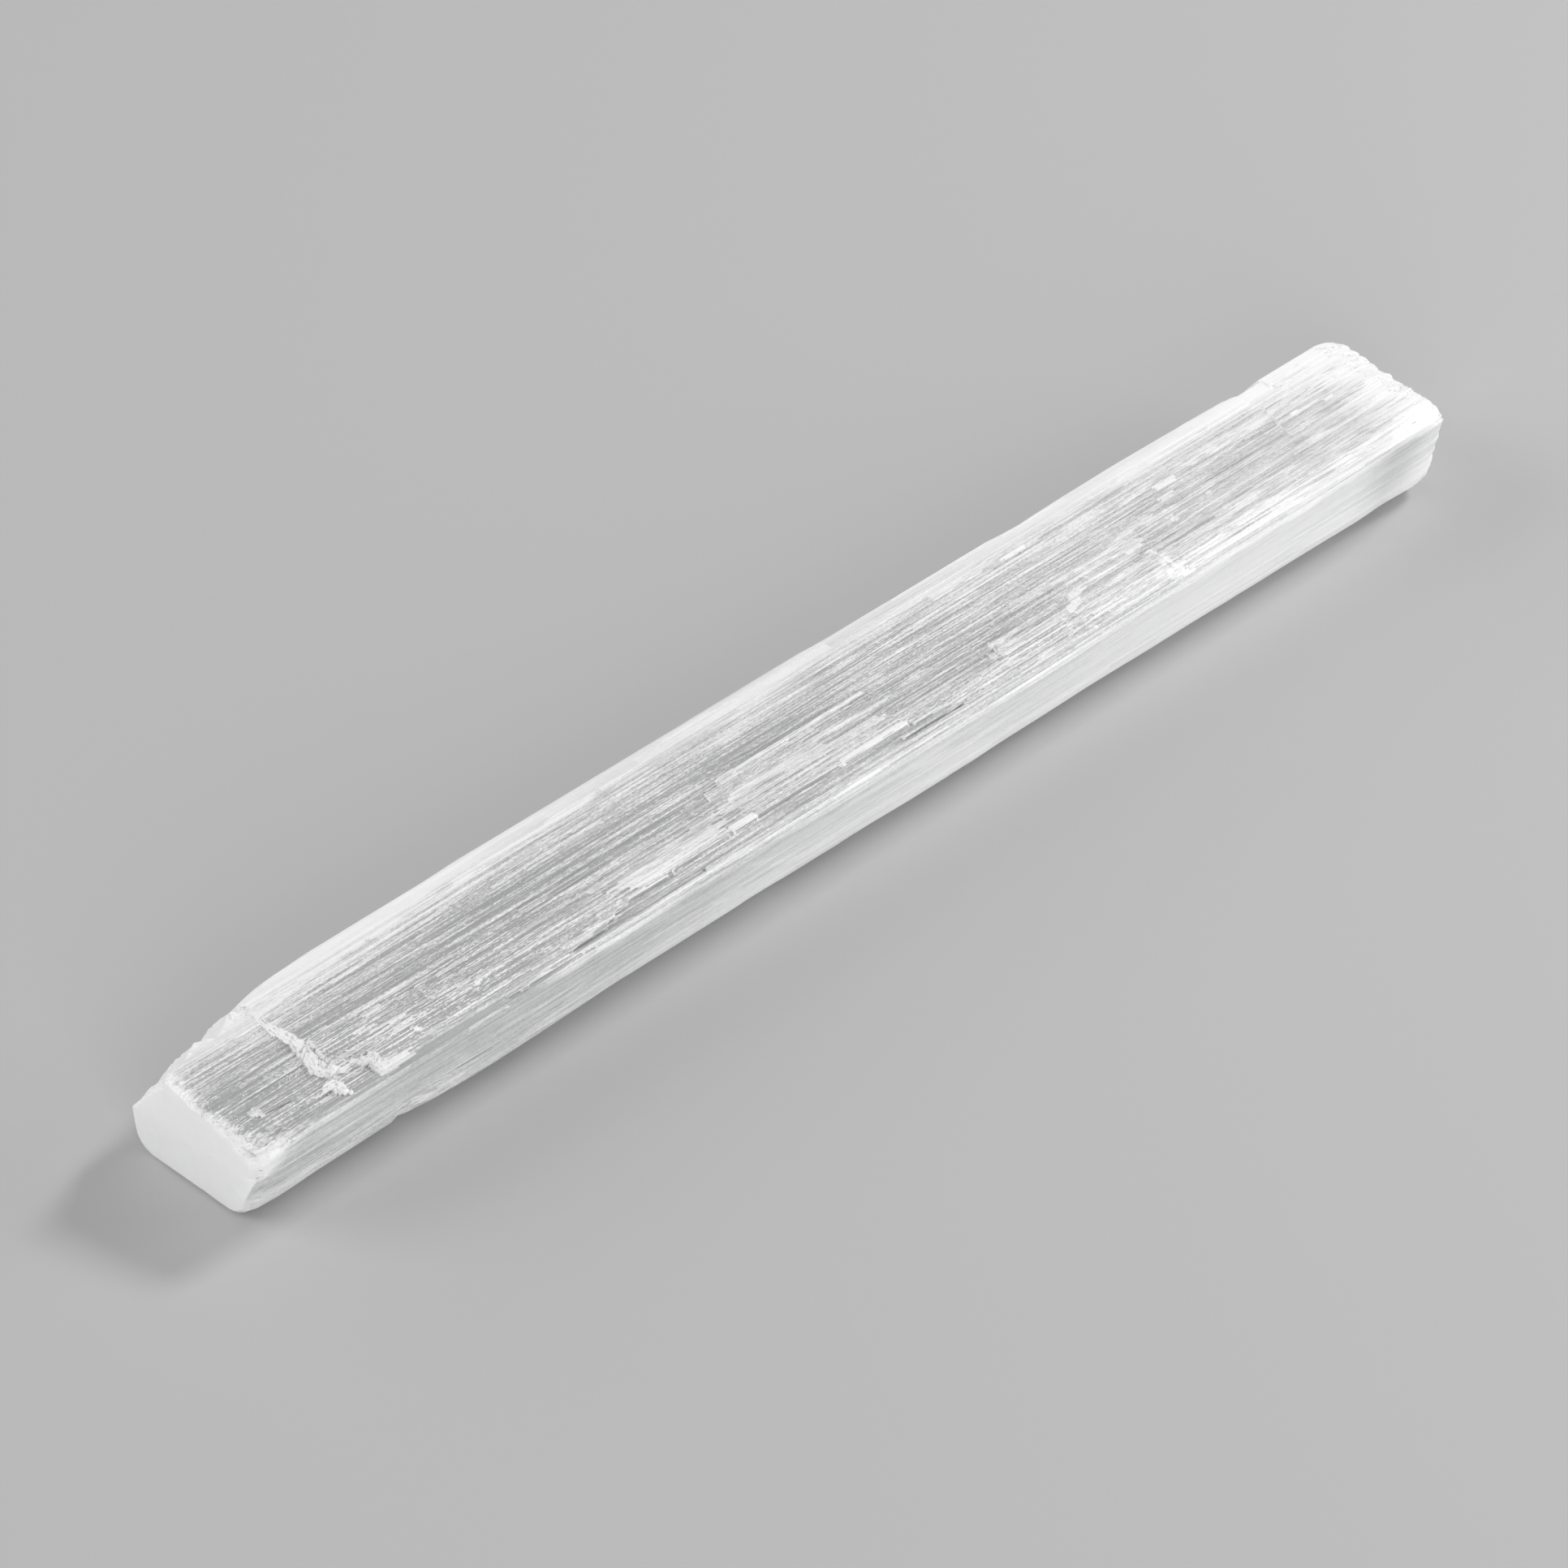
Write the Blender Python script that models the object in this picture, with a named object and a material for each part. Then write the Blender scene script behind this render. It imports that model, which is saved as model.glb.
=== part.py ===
"""Selenite crystal blade: one raw bar of satin spar, lying on its flat side.

The crystal is a bundle of parallel fibres that split into long laths. Its skin is modelled as those laths:
every lath runs the length of the blade, keeps its own height, and snaps square across at a few places, which
leaves the ledges, steps and troughs of a split crystal. The near end (-X) is sawn flat, and the far end (+X)
is broken off. It is one natural piece, so it is one object. X runs along the fibres and Z is up.
"""

import math
import random

import bmesh
import bpy
from mathutils import Vector

MM = 0.001  # sizes are in millimetres, and the model is in metres

# Driving dimensions of the whole blade
LENGTH = 203.0
WIDTH = 24.9
THICKNESS = 15.0
SPLIT_LAYER = 1.5  # the top layer that has snapped off at the near end
SEED = 11

NEAR, FAR = -LENGTH / 2, LENGTH / 2
FRONT = -12.25  # the finished blade is moved so that its base is centred on the origin
BACK = FRONT + WIDTH

# The cross-section's corners: (y, z, radius), from the front ridge over the top to the back and round below.
# The front face leans out over its foot, and the underside is flat.
CORNERS = (
    (FRONT, THICKNESS - 1.2, 0.8),  # front ridge
    (FRONT + 3.6, THICKNESS, 3.0),  # bevel between the ridge and the flat top
    (BACK, THICKNESS, 3.6),  # back shoulder
    (BACK - 0.3, 0.0, 3.0),  # back foot
    (FRONT + 5.3, 0.0, 4.6),  # front foot
)
ARC_STEPS = 10
HEART = (0.0, THICKNESS / 2)  # the axis that the ends close in on

# Where laths meet on the top, by y. Round the sides and below, laths are SIDE_LATH wide.
TOP_BORDERS = (-11.7, -10.4, -9.4, -8.7, -8.0, -7.3, -6.4, -5.2, -4.1, -2.5, -1.4, -0.2,
               1.1, 2.5, 4.0, 5.4, 6.8, 8.3, 10.0)  # fmt: skip
SIDE_LATH = 2.5
SEAM = 0.14  # width of the steep wall between two laths
SNAP = 0.20  # length of the steep wall where a lath snaps off
JOG = 0.4  # how far a lath may snap before or after its neighbours
LATH_RELIEF = 0.15  # how far a lath may lie above or below the smooth outline
SIDE_SMOOTHNESS = 0.5  # share of that relief, and of the sawn rim's chips, on the sides
SNAP_CHANCE = 0.3  # how often a lath changes height at a snap that no plate makes

# What part of the outline a lath is on, by the height of its outward direction
ON_TOP = 0.5  # above this, the lath is on the top
PLATED = 0.25  # above this, the plates below shape it
RESTING = -0.9  # below this, it is on the flat underside

# Plates and troughs of the top: (x from, x to, y from, y to, rise). Rises add up where they overlap. Two
# different ends lie more than 2 * JOG + SNAP apart, so that a lath never snaps back across its own ledge.
PLATES = (
    (NEAR - 1, -87.0, FRONT, BACK, -SPLIT_LAYER),  # terrace where the top layer is gone
    (-87.0, -82.2, FRONT, -8.0, -SPLIT_LAYER),  # the terrace reaches further on at the front
    (-87.0, -85.4, -8.0, -1.4, -0.8),  # thin second step behind the terrace
    (-85.4, -81.1, -8.0, -4.1, -0.5),
    (-89.6, -87.0, -10.4, -7.3, 0.7),  # flake left standing on the terrace
    (-60.0, -44.6, FRONT, -11.7, -0.4),  # the ridge is split off along the long plate
    (-49.6, -43.4, -11.7, -10.4, -0.6),  # trough along the front, below the long plate's edge
    (-43.4, -32.0, -10.4, -9.4, -0.7),
    (-32.0, 36.4, -10.4, -8.7, -0.6),
    (-32.0, -6.2, -8.7, -8.0, -0.6),
    (-62.0, -43.4, -10.4, -8.0, 0.2),  # the long plate itself
    (-42.0, -24.4, -8.0, -4.1, 0.4),  # plate that stops at a square step
    (-19.0, 4.5, -1.4, -0.2, 0.45),  # two narrow laths that start side by side
    (-22.3, -4.0, -2.5, -1.4, 0.35),
    (-6.2, 4.5, -8.7, -7.3, 0.4),  # short lath on the trough's edge
    (4.5, 23.0, -7.3, -4.1, -0.3),
    (38.1, 50.9, -2.5, -1.4, 0.4),
    (36.4, 50.9, -10.4, -7.3, 0.45),
    (50.9, 82.2, -5.2, 2.5, -0.25),  # shallow tray before the far cap
    (82.2, FAR + 1, -1.4, 5.4, 0.3),  # far cap
    (89.0, FAR + 1, 5.4, 10.0, 0.3),
    (82.2, 89.0, 6.8, BACK, -1.0),  # scoop in the back shoulder before the cap
)
# More places where laths snap, so that no stretch is whole right across for more than about 15 mm
EXTRA_SNAPS = (-95.0, -73.0, 14.5, 62.0, 72.5, 95.0)

# Wear, as (x where it starts, x where it is deepest, depth there)
SHOULDER_WEAR = ((-80.0, NEAR, 4.1), (8.0, FAR, 0.8))  # the back shoulder is worn to a slope at both ends
SLOPE = math.radians(36.5)  # how far that slope faces up
SHOULDER = 17.8  # distance of the unworn shoulder from the underside's middle, in the way the slope faces
RIDGE_WEAR = (20.0, FAR, 0.9)  # the front ridge draws in towards the far end
RIDGE_WEAR_RISE = (4.0, 10.0)  # heights between which the ridge's wear grows from nothing to all
BACK_WEAR = (-85.0, NEAR, 0.8)  # the back side draws in towards the near end

# Ends
SAW_CHIP = (0.27, 0.9)  # least and most depth of the crumbled rim round the sawn face
NICK = (-77.0, -75.8)  # notch in the front foot: x from, x to
NICK_DEPTH = 0.7  # how far the notch goes in, and also up
NICK_TOP = 3.5  # how high the notch reaches
NICK_BACK = -5.0  # how far back the notch reaches, by y
BREAK_EDGE = ((3.8, 0.0), (1.9, 0.4), (0.6, 1.1), (0.0, 2.1))  # (x short of the far end, inset)
BREAK_FACET = 1.7  # size of the broken face's facets
BREAK_TILT = 0.16  # how far the lines between them lean, as a share
BREAK_HOLLOWS = (-0.27, 0.9)  # least and most that a corner between facets lies back
BREAK_JOG = 0.45  # how far a lath may break off before its neighbours
CORNER_SETBACK = 2.8  # the broken end's front and back corners stop this much short
CORNER_REACH = (7.0, 12.0)  # distances from the middle between which that setback grows from nothing to all

SELENITE_WHITE = (0.86, 0.87, 0.86, 1.0)
SELENITE_IOR = 1.52
SATIN_ROUGHNESS = 0.38


def clamp(value):
    return min(1.0, max(0.0, value))


def progress(value, start, end):
    """How far value has come from start to end, from 0 to 1. The end may be less than the start."""
    return clamp((value - start) / (end - start))


def filleted_outline():
    """The cross-section as a closed list of (y, z), with each corner rounded to its radius."""
    points = []
    for i, (y, z, radius) in enumerate(CORNERS):
        before, after = CORNERS[i - 1], CORNERS[(i + 1) % len(CORNERS)]
        to_before = math.atan2(before[1] - z, before[0] - y)
        to_after = math.atan2(after[1] - z, after[0] - y)
        opening = (to_after - to_before) % (2 * math.pi)
        reach = radius / math.sin(opening / 2)
        middle = to_before + opening / 2
        centre = (y + reach * math.cos(middle), z + reach * math.sin(middle))
        turn = math.pi - opening
        for k in range(ARC_STEPS + 1):
            angle = middle + math.pi + turn * (0.5 - k / ARC_STEPS)
            points.append((centre[0] + radius * math.cos(angle), centre[1] + radius * math.sin(angle)))
    return points


class Outline:
    """The rounded cross-section, walked by the distance along it from the front ridge over the top."""

    def __init__(self):
        self.points = filleted_outline()
        self.ends = []  # distance at the end of each straight bit
        total = 0.0
        for a, b in self.bits():
            total += math.dist(a, b)
            self.ends.append(total)
        self.length = total

    def bits(self):
        return list(zip(self.points, self.points[1:] + self.points[:1]))

    def at(self, walked):
        """(y, z) and the outward (y, z) direction, this far along the outline."""
        walked %= self.length
        i = next(k for k, end in enumerate(self.ends) if walked <= end)
        a, b = self.bits()[i]
        span = math.dist(a, b)
        share = 1 - (self.ends[i] - walked) / span
        along = ((b[0] - a[0]) / span, (b[1] - a[1]) / span)
        return (a[0] + share * (b[0] - a[0]), a[1] + share * (b[1] - a[1])), (-along[1], along[0])

    def walked_to(self, y):
        """The distance along the outline at which its top passes y."""
        for end, (a, b) in zip(self.ends, self.bits()):
            if a[0] <= y < b[0]:
                return end - math.dist(a, b) * (b[0] - y) / (b[0] - a[0])
        raise ValueError(f"the top does not reach y = {y}")


def lath_spans(outline):
    """Each lath as (start, end) distances along the outline, front ridge first."""
    borders = [outline.walked_to(y) for y in TOP_BORDERS]
    rest = outline.length - borders[-1] + borders[0]
    count = round(rest / SIDE_LATH)
    borders += [borders[-1] + rest * k / count for k in range(1, count)]
    return list(zip(borders, borders[1:] + [borders[0] + outline.length]))


def snap_places():
    """Every x at which laths may snap, from the near end to the far end."""
    ends = {x for plate in PLATES for x in plate[:2]} | set(EXTRA_SNAPS)
    return sorted(x for x in ends if NEAR < x < FAR - BREAK_EDGE[0][0])


def plate_rise(x, y):
    return sum(rise for x0, x1, y0, y1, rise in PLATES if x0 <= x < x1 and y0 <= y <= y1)


class Lath:
    """One lath of the skin: where it lies round the outline, and its height in each stretch between snaps."""

    def __init__(self, outline, span, snaps, rng):
        self.edges = (span[0] + SEAM / 2, span[1] - SEAM / 2)
        (self.y, self.z), self.out = outline.at(sum(span) / 2)
        on_top = self.out[1] > ON_TOP
        rests = self.out[1] < RESTING
        relief = LATH_RELIEF if on_top else LATH_RELIEF * SIDE_SMOOTHNESS
        places = [NEAR, *snaps, FAR]
        self.jogs = [rng.uniform(-JOG, JOG) for _ in snaps]
        self.break_jog = rng.uniform(0.0, BREAK_JOG)
        self.chip = rng.uniform(*SAW_CHIP) * (1.0 if on_top else SIDE_SMOOTHNESS)
        self.unworn = rng.uniform(0.0, LATH_RELIEF)
        self.rises = []
        own = rng.uniform(-relief, relief)
        for start, end in zip(places, places[1:]):
            if rng.random() < SNAP_CHANCE:
                own = rng.uniform(-relief, relief)
            plates = plate_rise((start + end) / 2, self.y) if self.out[1] > PLATED else 0.0
            self.rises.append(0.0 if rests else own + plates)

    def setback(self):
        """How far short of the far end this lath stops."""
        return CORNER_SETBACK * progress(abs(self.y), *CORNER_REACH) ** 2 + self.break_jog


def worn_slope(x, y, z, unworn):
    """(y, z) brought back to the worn slope of the back shoulder where it lies beyond it."""
    worn = max(depth * progress(x, start, deepest) for start, deepest, depth in SHOULDER_WEAR)
    facing = (math.cos(SLOPE), math.sin(SLOPE))
    left = SHOULDER + unworn - worn
    beyond = max(0.0, y * facing[0] + z * facing[1] - left) if worn > 0 else 0.0
    return y - beyond * facing[0], z - beyond * facing[1]


def side_wear(x, z, out_y):
    """How far the sides are worn in at x. The front is worn most at its ridge and not at its foot."""
    start, deepest, depth = RIDGE_WEAR
    front = depth * clamp(-out_y) * progress(z, *RIDGE_WEAR_RISE) * progress(x, start, deepest)
    start, deepest, depth = BACK_WEAR
    return front + depth * clamp(out_y) * progress(x, start, deepest)


def towards_heart(y, z, share):
    return HEART[0] + share * (y - HEART[0]), HEART[1] + share * (z - HEART[1])


def ring(outline, laths, stretch, x_of, inset_of=lambda lath: 0.0):
    """One closed loop of (x, y, z) across the blade: two points for each lath.

    stretch picks each lath's height, and inset_of draws the loop in towards the heart."""
    points = []
    for lath in laths:
        x = x_of(lath)
        for edge in lath.edges:
            (y, z), (out_y, out_z) = outline.at(edge)
            rise = lath.rises[stretch] - side_wear(x, z, out_y)
            y, z = worn_slope(x, y + out_y * rise, max(0.0, z + out_z * rise), lath.unworn)
            reach = math.hypot(y - HEART[0], z - HEART[1])
            points.append((x, *towards_heart(y, z, 1 - inset_of(lath) / reach)))
    return points


def nicked(points):
    """The ring with the notch in the front foot cut into it."""
    start, end = NICK
    return [
        (x, y + NICK_DEPTH, z + NICK_DEPTH) if start < x < end and y < NICK_BACK and z < NICK_TOP
        else (x, y, z)
        for x, y, z in points
    ]  # fmt: skip


def stretch_rings(outline, laths, snaps):
    """The rings at each snap, with the notch's own rings in the stretch that holds it."""
    rings = []
    for i, snap in enumerate(snaps):
        for stretch, side in ((i, -SNAP / 2), (i + 1, SNAP / 2)):
            places = [snap + jog + side for jog in (lath.jogs[i] for lath in laths)]
            place_of = dict(zip(laths, places))
            rings.append(ring(outline, laths, stretch, place_of.get))
        if snap < NICK[0] < (snaps + [FAR])[i + 1]:
            for x in (NICK[0] - SNAP, NICK[0] + SNAP, NICK[1] - SNAP, NICK[1] + SNAP):
                rings.append(nicked(ring(outline, laths, i + 1, lambda lath: x)))
    return rings


def broken_rim(outline, laths, stretch):
    """The rings of the far end's rounded rim."""
    rim_depth = BREAK_EDGE[0][0]
    return [
        ring(
            outline, laths, stretch,
            lambda lath: FAR - short - lath.setback() * (1 - short / rim_depth),
            lambda lath: inset,
        )
        for short, inset in BREAK_EDGE
    ]  # fmt: skip


def body_rings(outline, laths, snaps):
    """Every ring, from the sawn face to the broken end."""
    sawn_face = ring(outline, laths, 0, lambda lath: NEAR, lambda lath: lath.chip)
    chipped_rim = ring(outline, laths, 0, lambda lath: NEAR + lath.chip)
    along = stretch_rings(outline, laths, snaps)
    return [sawn_face, chipped_rim, *along, *broken_rim(outline, laths, len(snaps))]


def break_off(shape, rim, rng):
    """Closes the far end with a face that is cut into leaning facets, whose corners lie at uneven depths."""
    patch = [shape.faces.new(rim), *rim]
    patch += patch[0].edges
    for axis, reach in ((1, WIDTH / 2), (2, THICKNESS / 2)):
        middle = Vector((FAR, *HEART))
        for k in range(-int(reach / BREAK_FACET), int(reach / BREAK_FACET) + 1):
            across = Vector([rng.uniform(-BREAK_TILT, BREAK_TILT) if i else 0.0 for i in range(3)])
            across[axis] = 1.0
            point = middle + across * (k * BREAK_FACET)
            cut = bmesh.ops.bisect_plane(shape, geom=patch, plane_co=point * MM, plane_no=across)
            patch = cut["geom"]
    faces = {item for item in patch if isinstance(item, bmesh.types.BMFace)}
    corners = [item for item in patch if isinstance(item, bmesh.types.BMVert)]
    for corner in corners:
        if faces.issuperset(corner.link_faces):
            corner.co.x -= rng.uniform(*BREAK_HOLLOWS) * MM


def skin(rings, rng):
    """A closed mesh over the rings: the flat sawn face, the bands between rings, and the broken face."""
    shape = bmesh.new()
    loops = [[shape.verts.new([c * MM for c in point]) for point in points] for points in rings]
    shape.faces.new(loops[0])
    for near, far in zip(loops, loops[1:]):
        for k in range(len(near)):
            after = (k + 1) % len(near)
            shape.faces.new((near[k], near[after], far[after], far[k]))
    break_off(shape, loops[-1], rng)
    bmesh.ops.recalc_face_normals(shape, faces=shape.faces)
    return shape


def stand_on_base_centre(shape):
    """Moves the mesh so that the middle of its box's underside is the origin."""
    spans = [(min(v.co[i] for v in shape.verts), max(v.co[i] for v in shape.verts)) for i in range(3)]
    base = (-(spans[0][0] + spans[0][1]) / 2, -(spans[1][0] + spans[1][1]) / 2, -spans[2][0])
    bmesh.ops.translate(shape, vec=base, verts=shape.verts)


def satin_spar():
    material = bpy.data.materials.new("satin_spar")
    material.use_nodes = True
    shader = material.node_tree.nodes["Principled BSDF"]
    shader.inputs["Base Color"].default_value = SELENITE_WHITE
    shader.inputs["Roughness"].default_value = SATIN_ROUGHNESS
    shader.inputs["Metallic"].default_value = 0.0
    shader.inputs["IOR"].default_value = SELENITE_IOR
    return material


def selenite_blade():
    rng = random.Random(SEED)
    outline = Outline()
    snaps = snap_places()
    laths = [Lath(outline, span, snaps, rng) for span in lath_spans(outline)]
    shape = skin(body_rings(outline, laths, snaps), rng)
    stand_on_base_centre(shape)
    mesh = bpy.data.meshes.new("selenite_blade")
    shape.to_mesh(mesh)
    shape.free()
    mesh.materials.append(satin_spar())
    blade = bpy.data.objects.new("selenite_blade", mesh)
    bpy.context.scene.collection.objects.link(blade)


for stale in list(bpy.data.objects):
    bpy.data.objects.remove(stale)
selenite_blade()
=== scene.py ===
import math

import bpy
import numpy as np
from mathutils import Euler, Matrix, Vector
from mathutils.bvhtree import BVHTree


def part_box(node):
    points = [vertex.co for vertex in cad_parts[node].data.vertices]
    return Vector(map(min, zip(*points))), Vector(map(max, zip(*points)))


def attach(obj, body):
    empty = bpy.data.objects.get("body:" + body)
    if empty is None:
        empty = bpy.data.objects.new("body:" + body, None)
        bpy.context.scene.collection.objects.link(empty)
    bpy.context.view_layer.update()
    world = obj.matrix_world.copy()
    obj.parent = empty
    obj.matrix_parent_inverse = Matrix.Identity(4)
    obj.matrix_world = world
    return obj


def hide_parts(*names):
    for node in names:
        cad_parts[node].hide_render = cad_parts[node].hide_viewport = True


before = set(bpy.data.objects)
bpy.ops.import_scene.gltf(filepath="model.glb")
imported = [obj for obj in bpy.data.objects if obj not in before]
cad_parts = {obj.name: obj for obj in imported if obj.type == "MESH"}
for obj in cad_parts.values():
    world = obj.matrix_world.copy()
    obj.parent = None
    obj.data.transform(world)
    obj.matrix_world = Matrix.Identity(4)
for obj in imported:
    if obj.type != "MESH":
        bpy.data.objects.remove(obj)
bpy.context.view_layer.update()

# --------------------------------------------------------
# The blade's skin. One raw bar of satin spar, the fibrous kind of selenite: a bundle of parallel fibres,
# milky where it has been rubbed and greyer where one looks into it. It was split along its fibres, sawn
# across at the near end (-X) and broken off at the far end (+X).
# --------------------------------------------------------
MM = 0.001  # sizes are in millimetres, and the scene is in metres

low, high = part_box("selenite_blade")
NEAR, FAR = low.x / MM, high.x / MM
FRONT, BACK, TOP = low.y / MM, high.y / MM, high.z / MM
CLEAR = 0.01  # how far the skin stays inside the solid's box

# Cross-section corners: (y, z, radius), from the front ridge over the top to the back and round below
THICKNESS = 15.0
RIDGE_Y, SHOULDER_Y = FRONT - 0.27, BACK + 0.25
CORNERS = (
    (RIDGE_Y, THICKNESS - 1.2, 0.8),  # front ridge
    (RIDGE_Y + 3.6, THICKNESS, 3.0),  # bevel between the ridge and the flat top
    (SHOULDER_Y, THICKNESS, 3.6),  # back shoulder
    (SHOULDER_Y - 0.3, 0.0, 3.0),  # back foot
    (RIDGE_Y + 5.3, 0.0, 4.6),  # front foot
)
HEART = np.array((0.0, THICKNESS / 2))  # the axis that the ends close in on

# Strands: bundles of fibres that run the blade's length side by side, as (share of width, crown) columns
COLUMNS = ((0.0, 0.0), (0.5, 1.0), (1.0, 0.0))
SEAM = 0.02  # half the width of the steep wall between two strands
CROWN = 0.022  # how far a strand's crown stands up, as a share of its width

SEED = 23
rng = np.random.default_rng(SEED)


def filleted_outline(steps=24):
    """The cross-section as a closed list of (y, z), with each corner rounded to its radius."""
    points = []
    for i, (y, z, radius) in enumerate(CORNERS):
        before, after = CORNERS[i - 1], CORNERS[(i + 1) % len(CORNERS)]
        to_before = math.atan2(before[1] - z, before[0] - y)
        to_after = math.atan2(after[1] - z, after[0] - y)
        opening = (to_after - to_before) % (2 * math.pi)
        reach = radius / math.sin(opening / 2)
        middle = to_before + opening / 2
        centre = (y + reach * math.cos(middle), z + reach * math.sin(middle))
        for angle in middle + math.pi + (math.pi - opening) * np.linspace(0.5, -0.5, steps):
            points.append((centre[0] + radius * math.cos(angle), centre[1] + radius * math.sin(angle)))
    return np.array(points)


class Section:
    """The cross-section, walked by the distance along it from the front ridge over the top."""

    def __init__(self):
        loop = filleted_outline()
        self.loop = np.vstack([loop, loop[:1]])
        bits = np.diff(self.loop, axis=0)
        spans = np.hypot(*bits.T)
        self.walked = np.r_[0.0, np.cumsum(spans)]
        self.length = self.walked[-1]
        self.facing = np.stack([-bits[:, 1], bits[:, 0]], -1) / spans[:, None]
        self.middles = (self.walked[:-1] + self.walked[1:]) / 2

    def at(self, walked):
        """The (y, z) of the outline there."""
        walked = walked % self.length
        return np.stack([np.interp(walked, self.walked, self.loop[:, i]) for i in (0, 1)], -1)

    def out(self, walked):
        """The outward direction (y, z) there."""
        out = [np.interp(walked, self.middles, self.facing[:, i], period=self.length) for i in (0, 1)]
        out = np.stack(out, -1)
        return out / np.hypot(out[..., 0], out[..., 1])[..., None]

    def over(self, y):
        """The walked distance at which the top passes y."""
        rising = (self.loop[:, 1] > THICKNESS / 2) & (self.walked < self.length / 2)
        return float(np.interp(y, self.loop[rising][:, 0], self.walked[rising]))


section = Section()


def strand_borders(start, end, narrow, wide):
    """Distances from start to end along the section, cut into widths between narrow and wide."""
    widths = []
    while sum(widths) < end - start:
        widths.append(rng.uniform(narrow, wide))
    return start + np.cumsum(widths) * (end - start) / sum(widths)


SPLIT_EDGE = 8.2  # the y at which the split top ends
SPLIT_TOP = section.over(SPLIT_EDGE)
RUBBED_BACK = SPLIT_TOP + 18.0
UNDERSIDE = RUBBED_BACK + 14.0
ZONES = (  # (walked distance where the zone ends, narrowest strand, widest strand)
    (SPLIT_TOP, 0.22, 0.56),
    (RUBBED_BACK, 0.8, 1.5),
    (UNDERSIDE, 1.6, 2.8),
    (section.length, 0.5, 1.1),  # the front face
)
strands = []  # (start, end)
walked = 0.0
for zone_end, narrow, wide in ZONES:
    for border in strand_borders(walked, zone_end, narrow, wide):
        strands.append((walked, border))
        walked = border

# Stations: the lines across the blade. They lie close together where the split layers end.
BUSY = (  # (x from, x to, spacing)
    (-101.6, -98.6, 0.26), (-91, -80, 0.38), (-72, -62, 0.62), (-62, -31, 0.66),
    (-25.5, -18.5, 0.42), (-8, -5, 0.42), (3, 6, 0.42), (20.5, 24.5, 0.42), (34.5, 41, 0.48),
    (48, 52.5, 0.38), (59, 66, 0.62), (80, 91, 0.48), (93, 101.6, 0.34),
)
CALM = 1.35  # spacing elsewhere
LINE_STEPS = 8001  # places at which the spacing is read


def station_line():
    """The stations' x, from the sawn end to the broken end."""
    places = np.linspace(NEAR, FAR, LINE_STEPS)
    spacing = np.full(places.shape, CALM)
    for start, end, step in BUSY:
        spacing[(places >= start) & (places <= end)] = step
    counted = np.r_[0.0, np.cumsum(np.diff(places) / spacing[:-1])]
    return np.interp(np.linspace(0, counted[-1], int(counted[-1]) + 1), counted, places)


stations = station_line()

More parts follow.
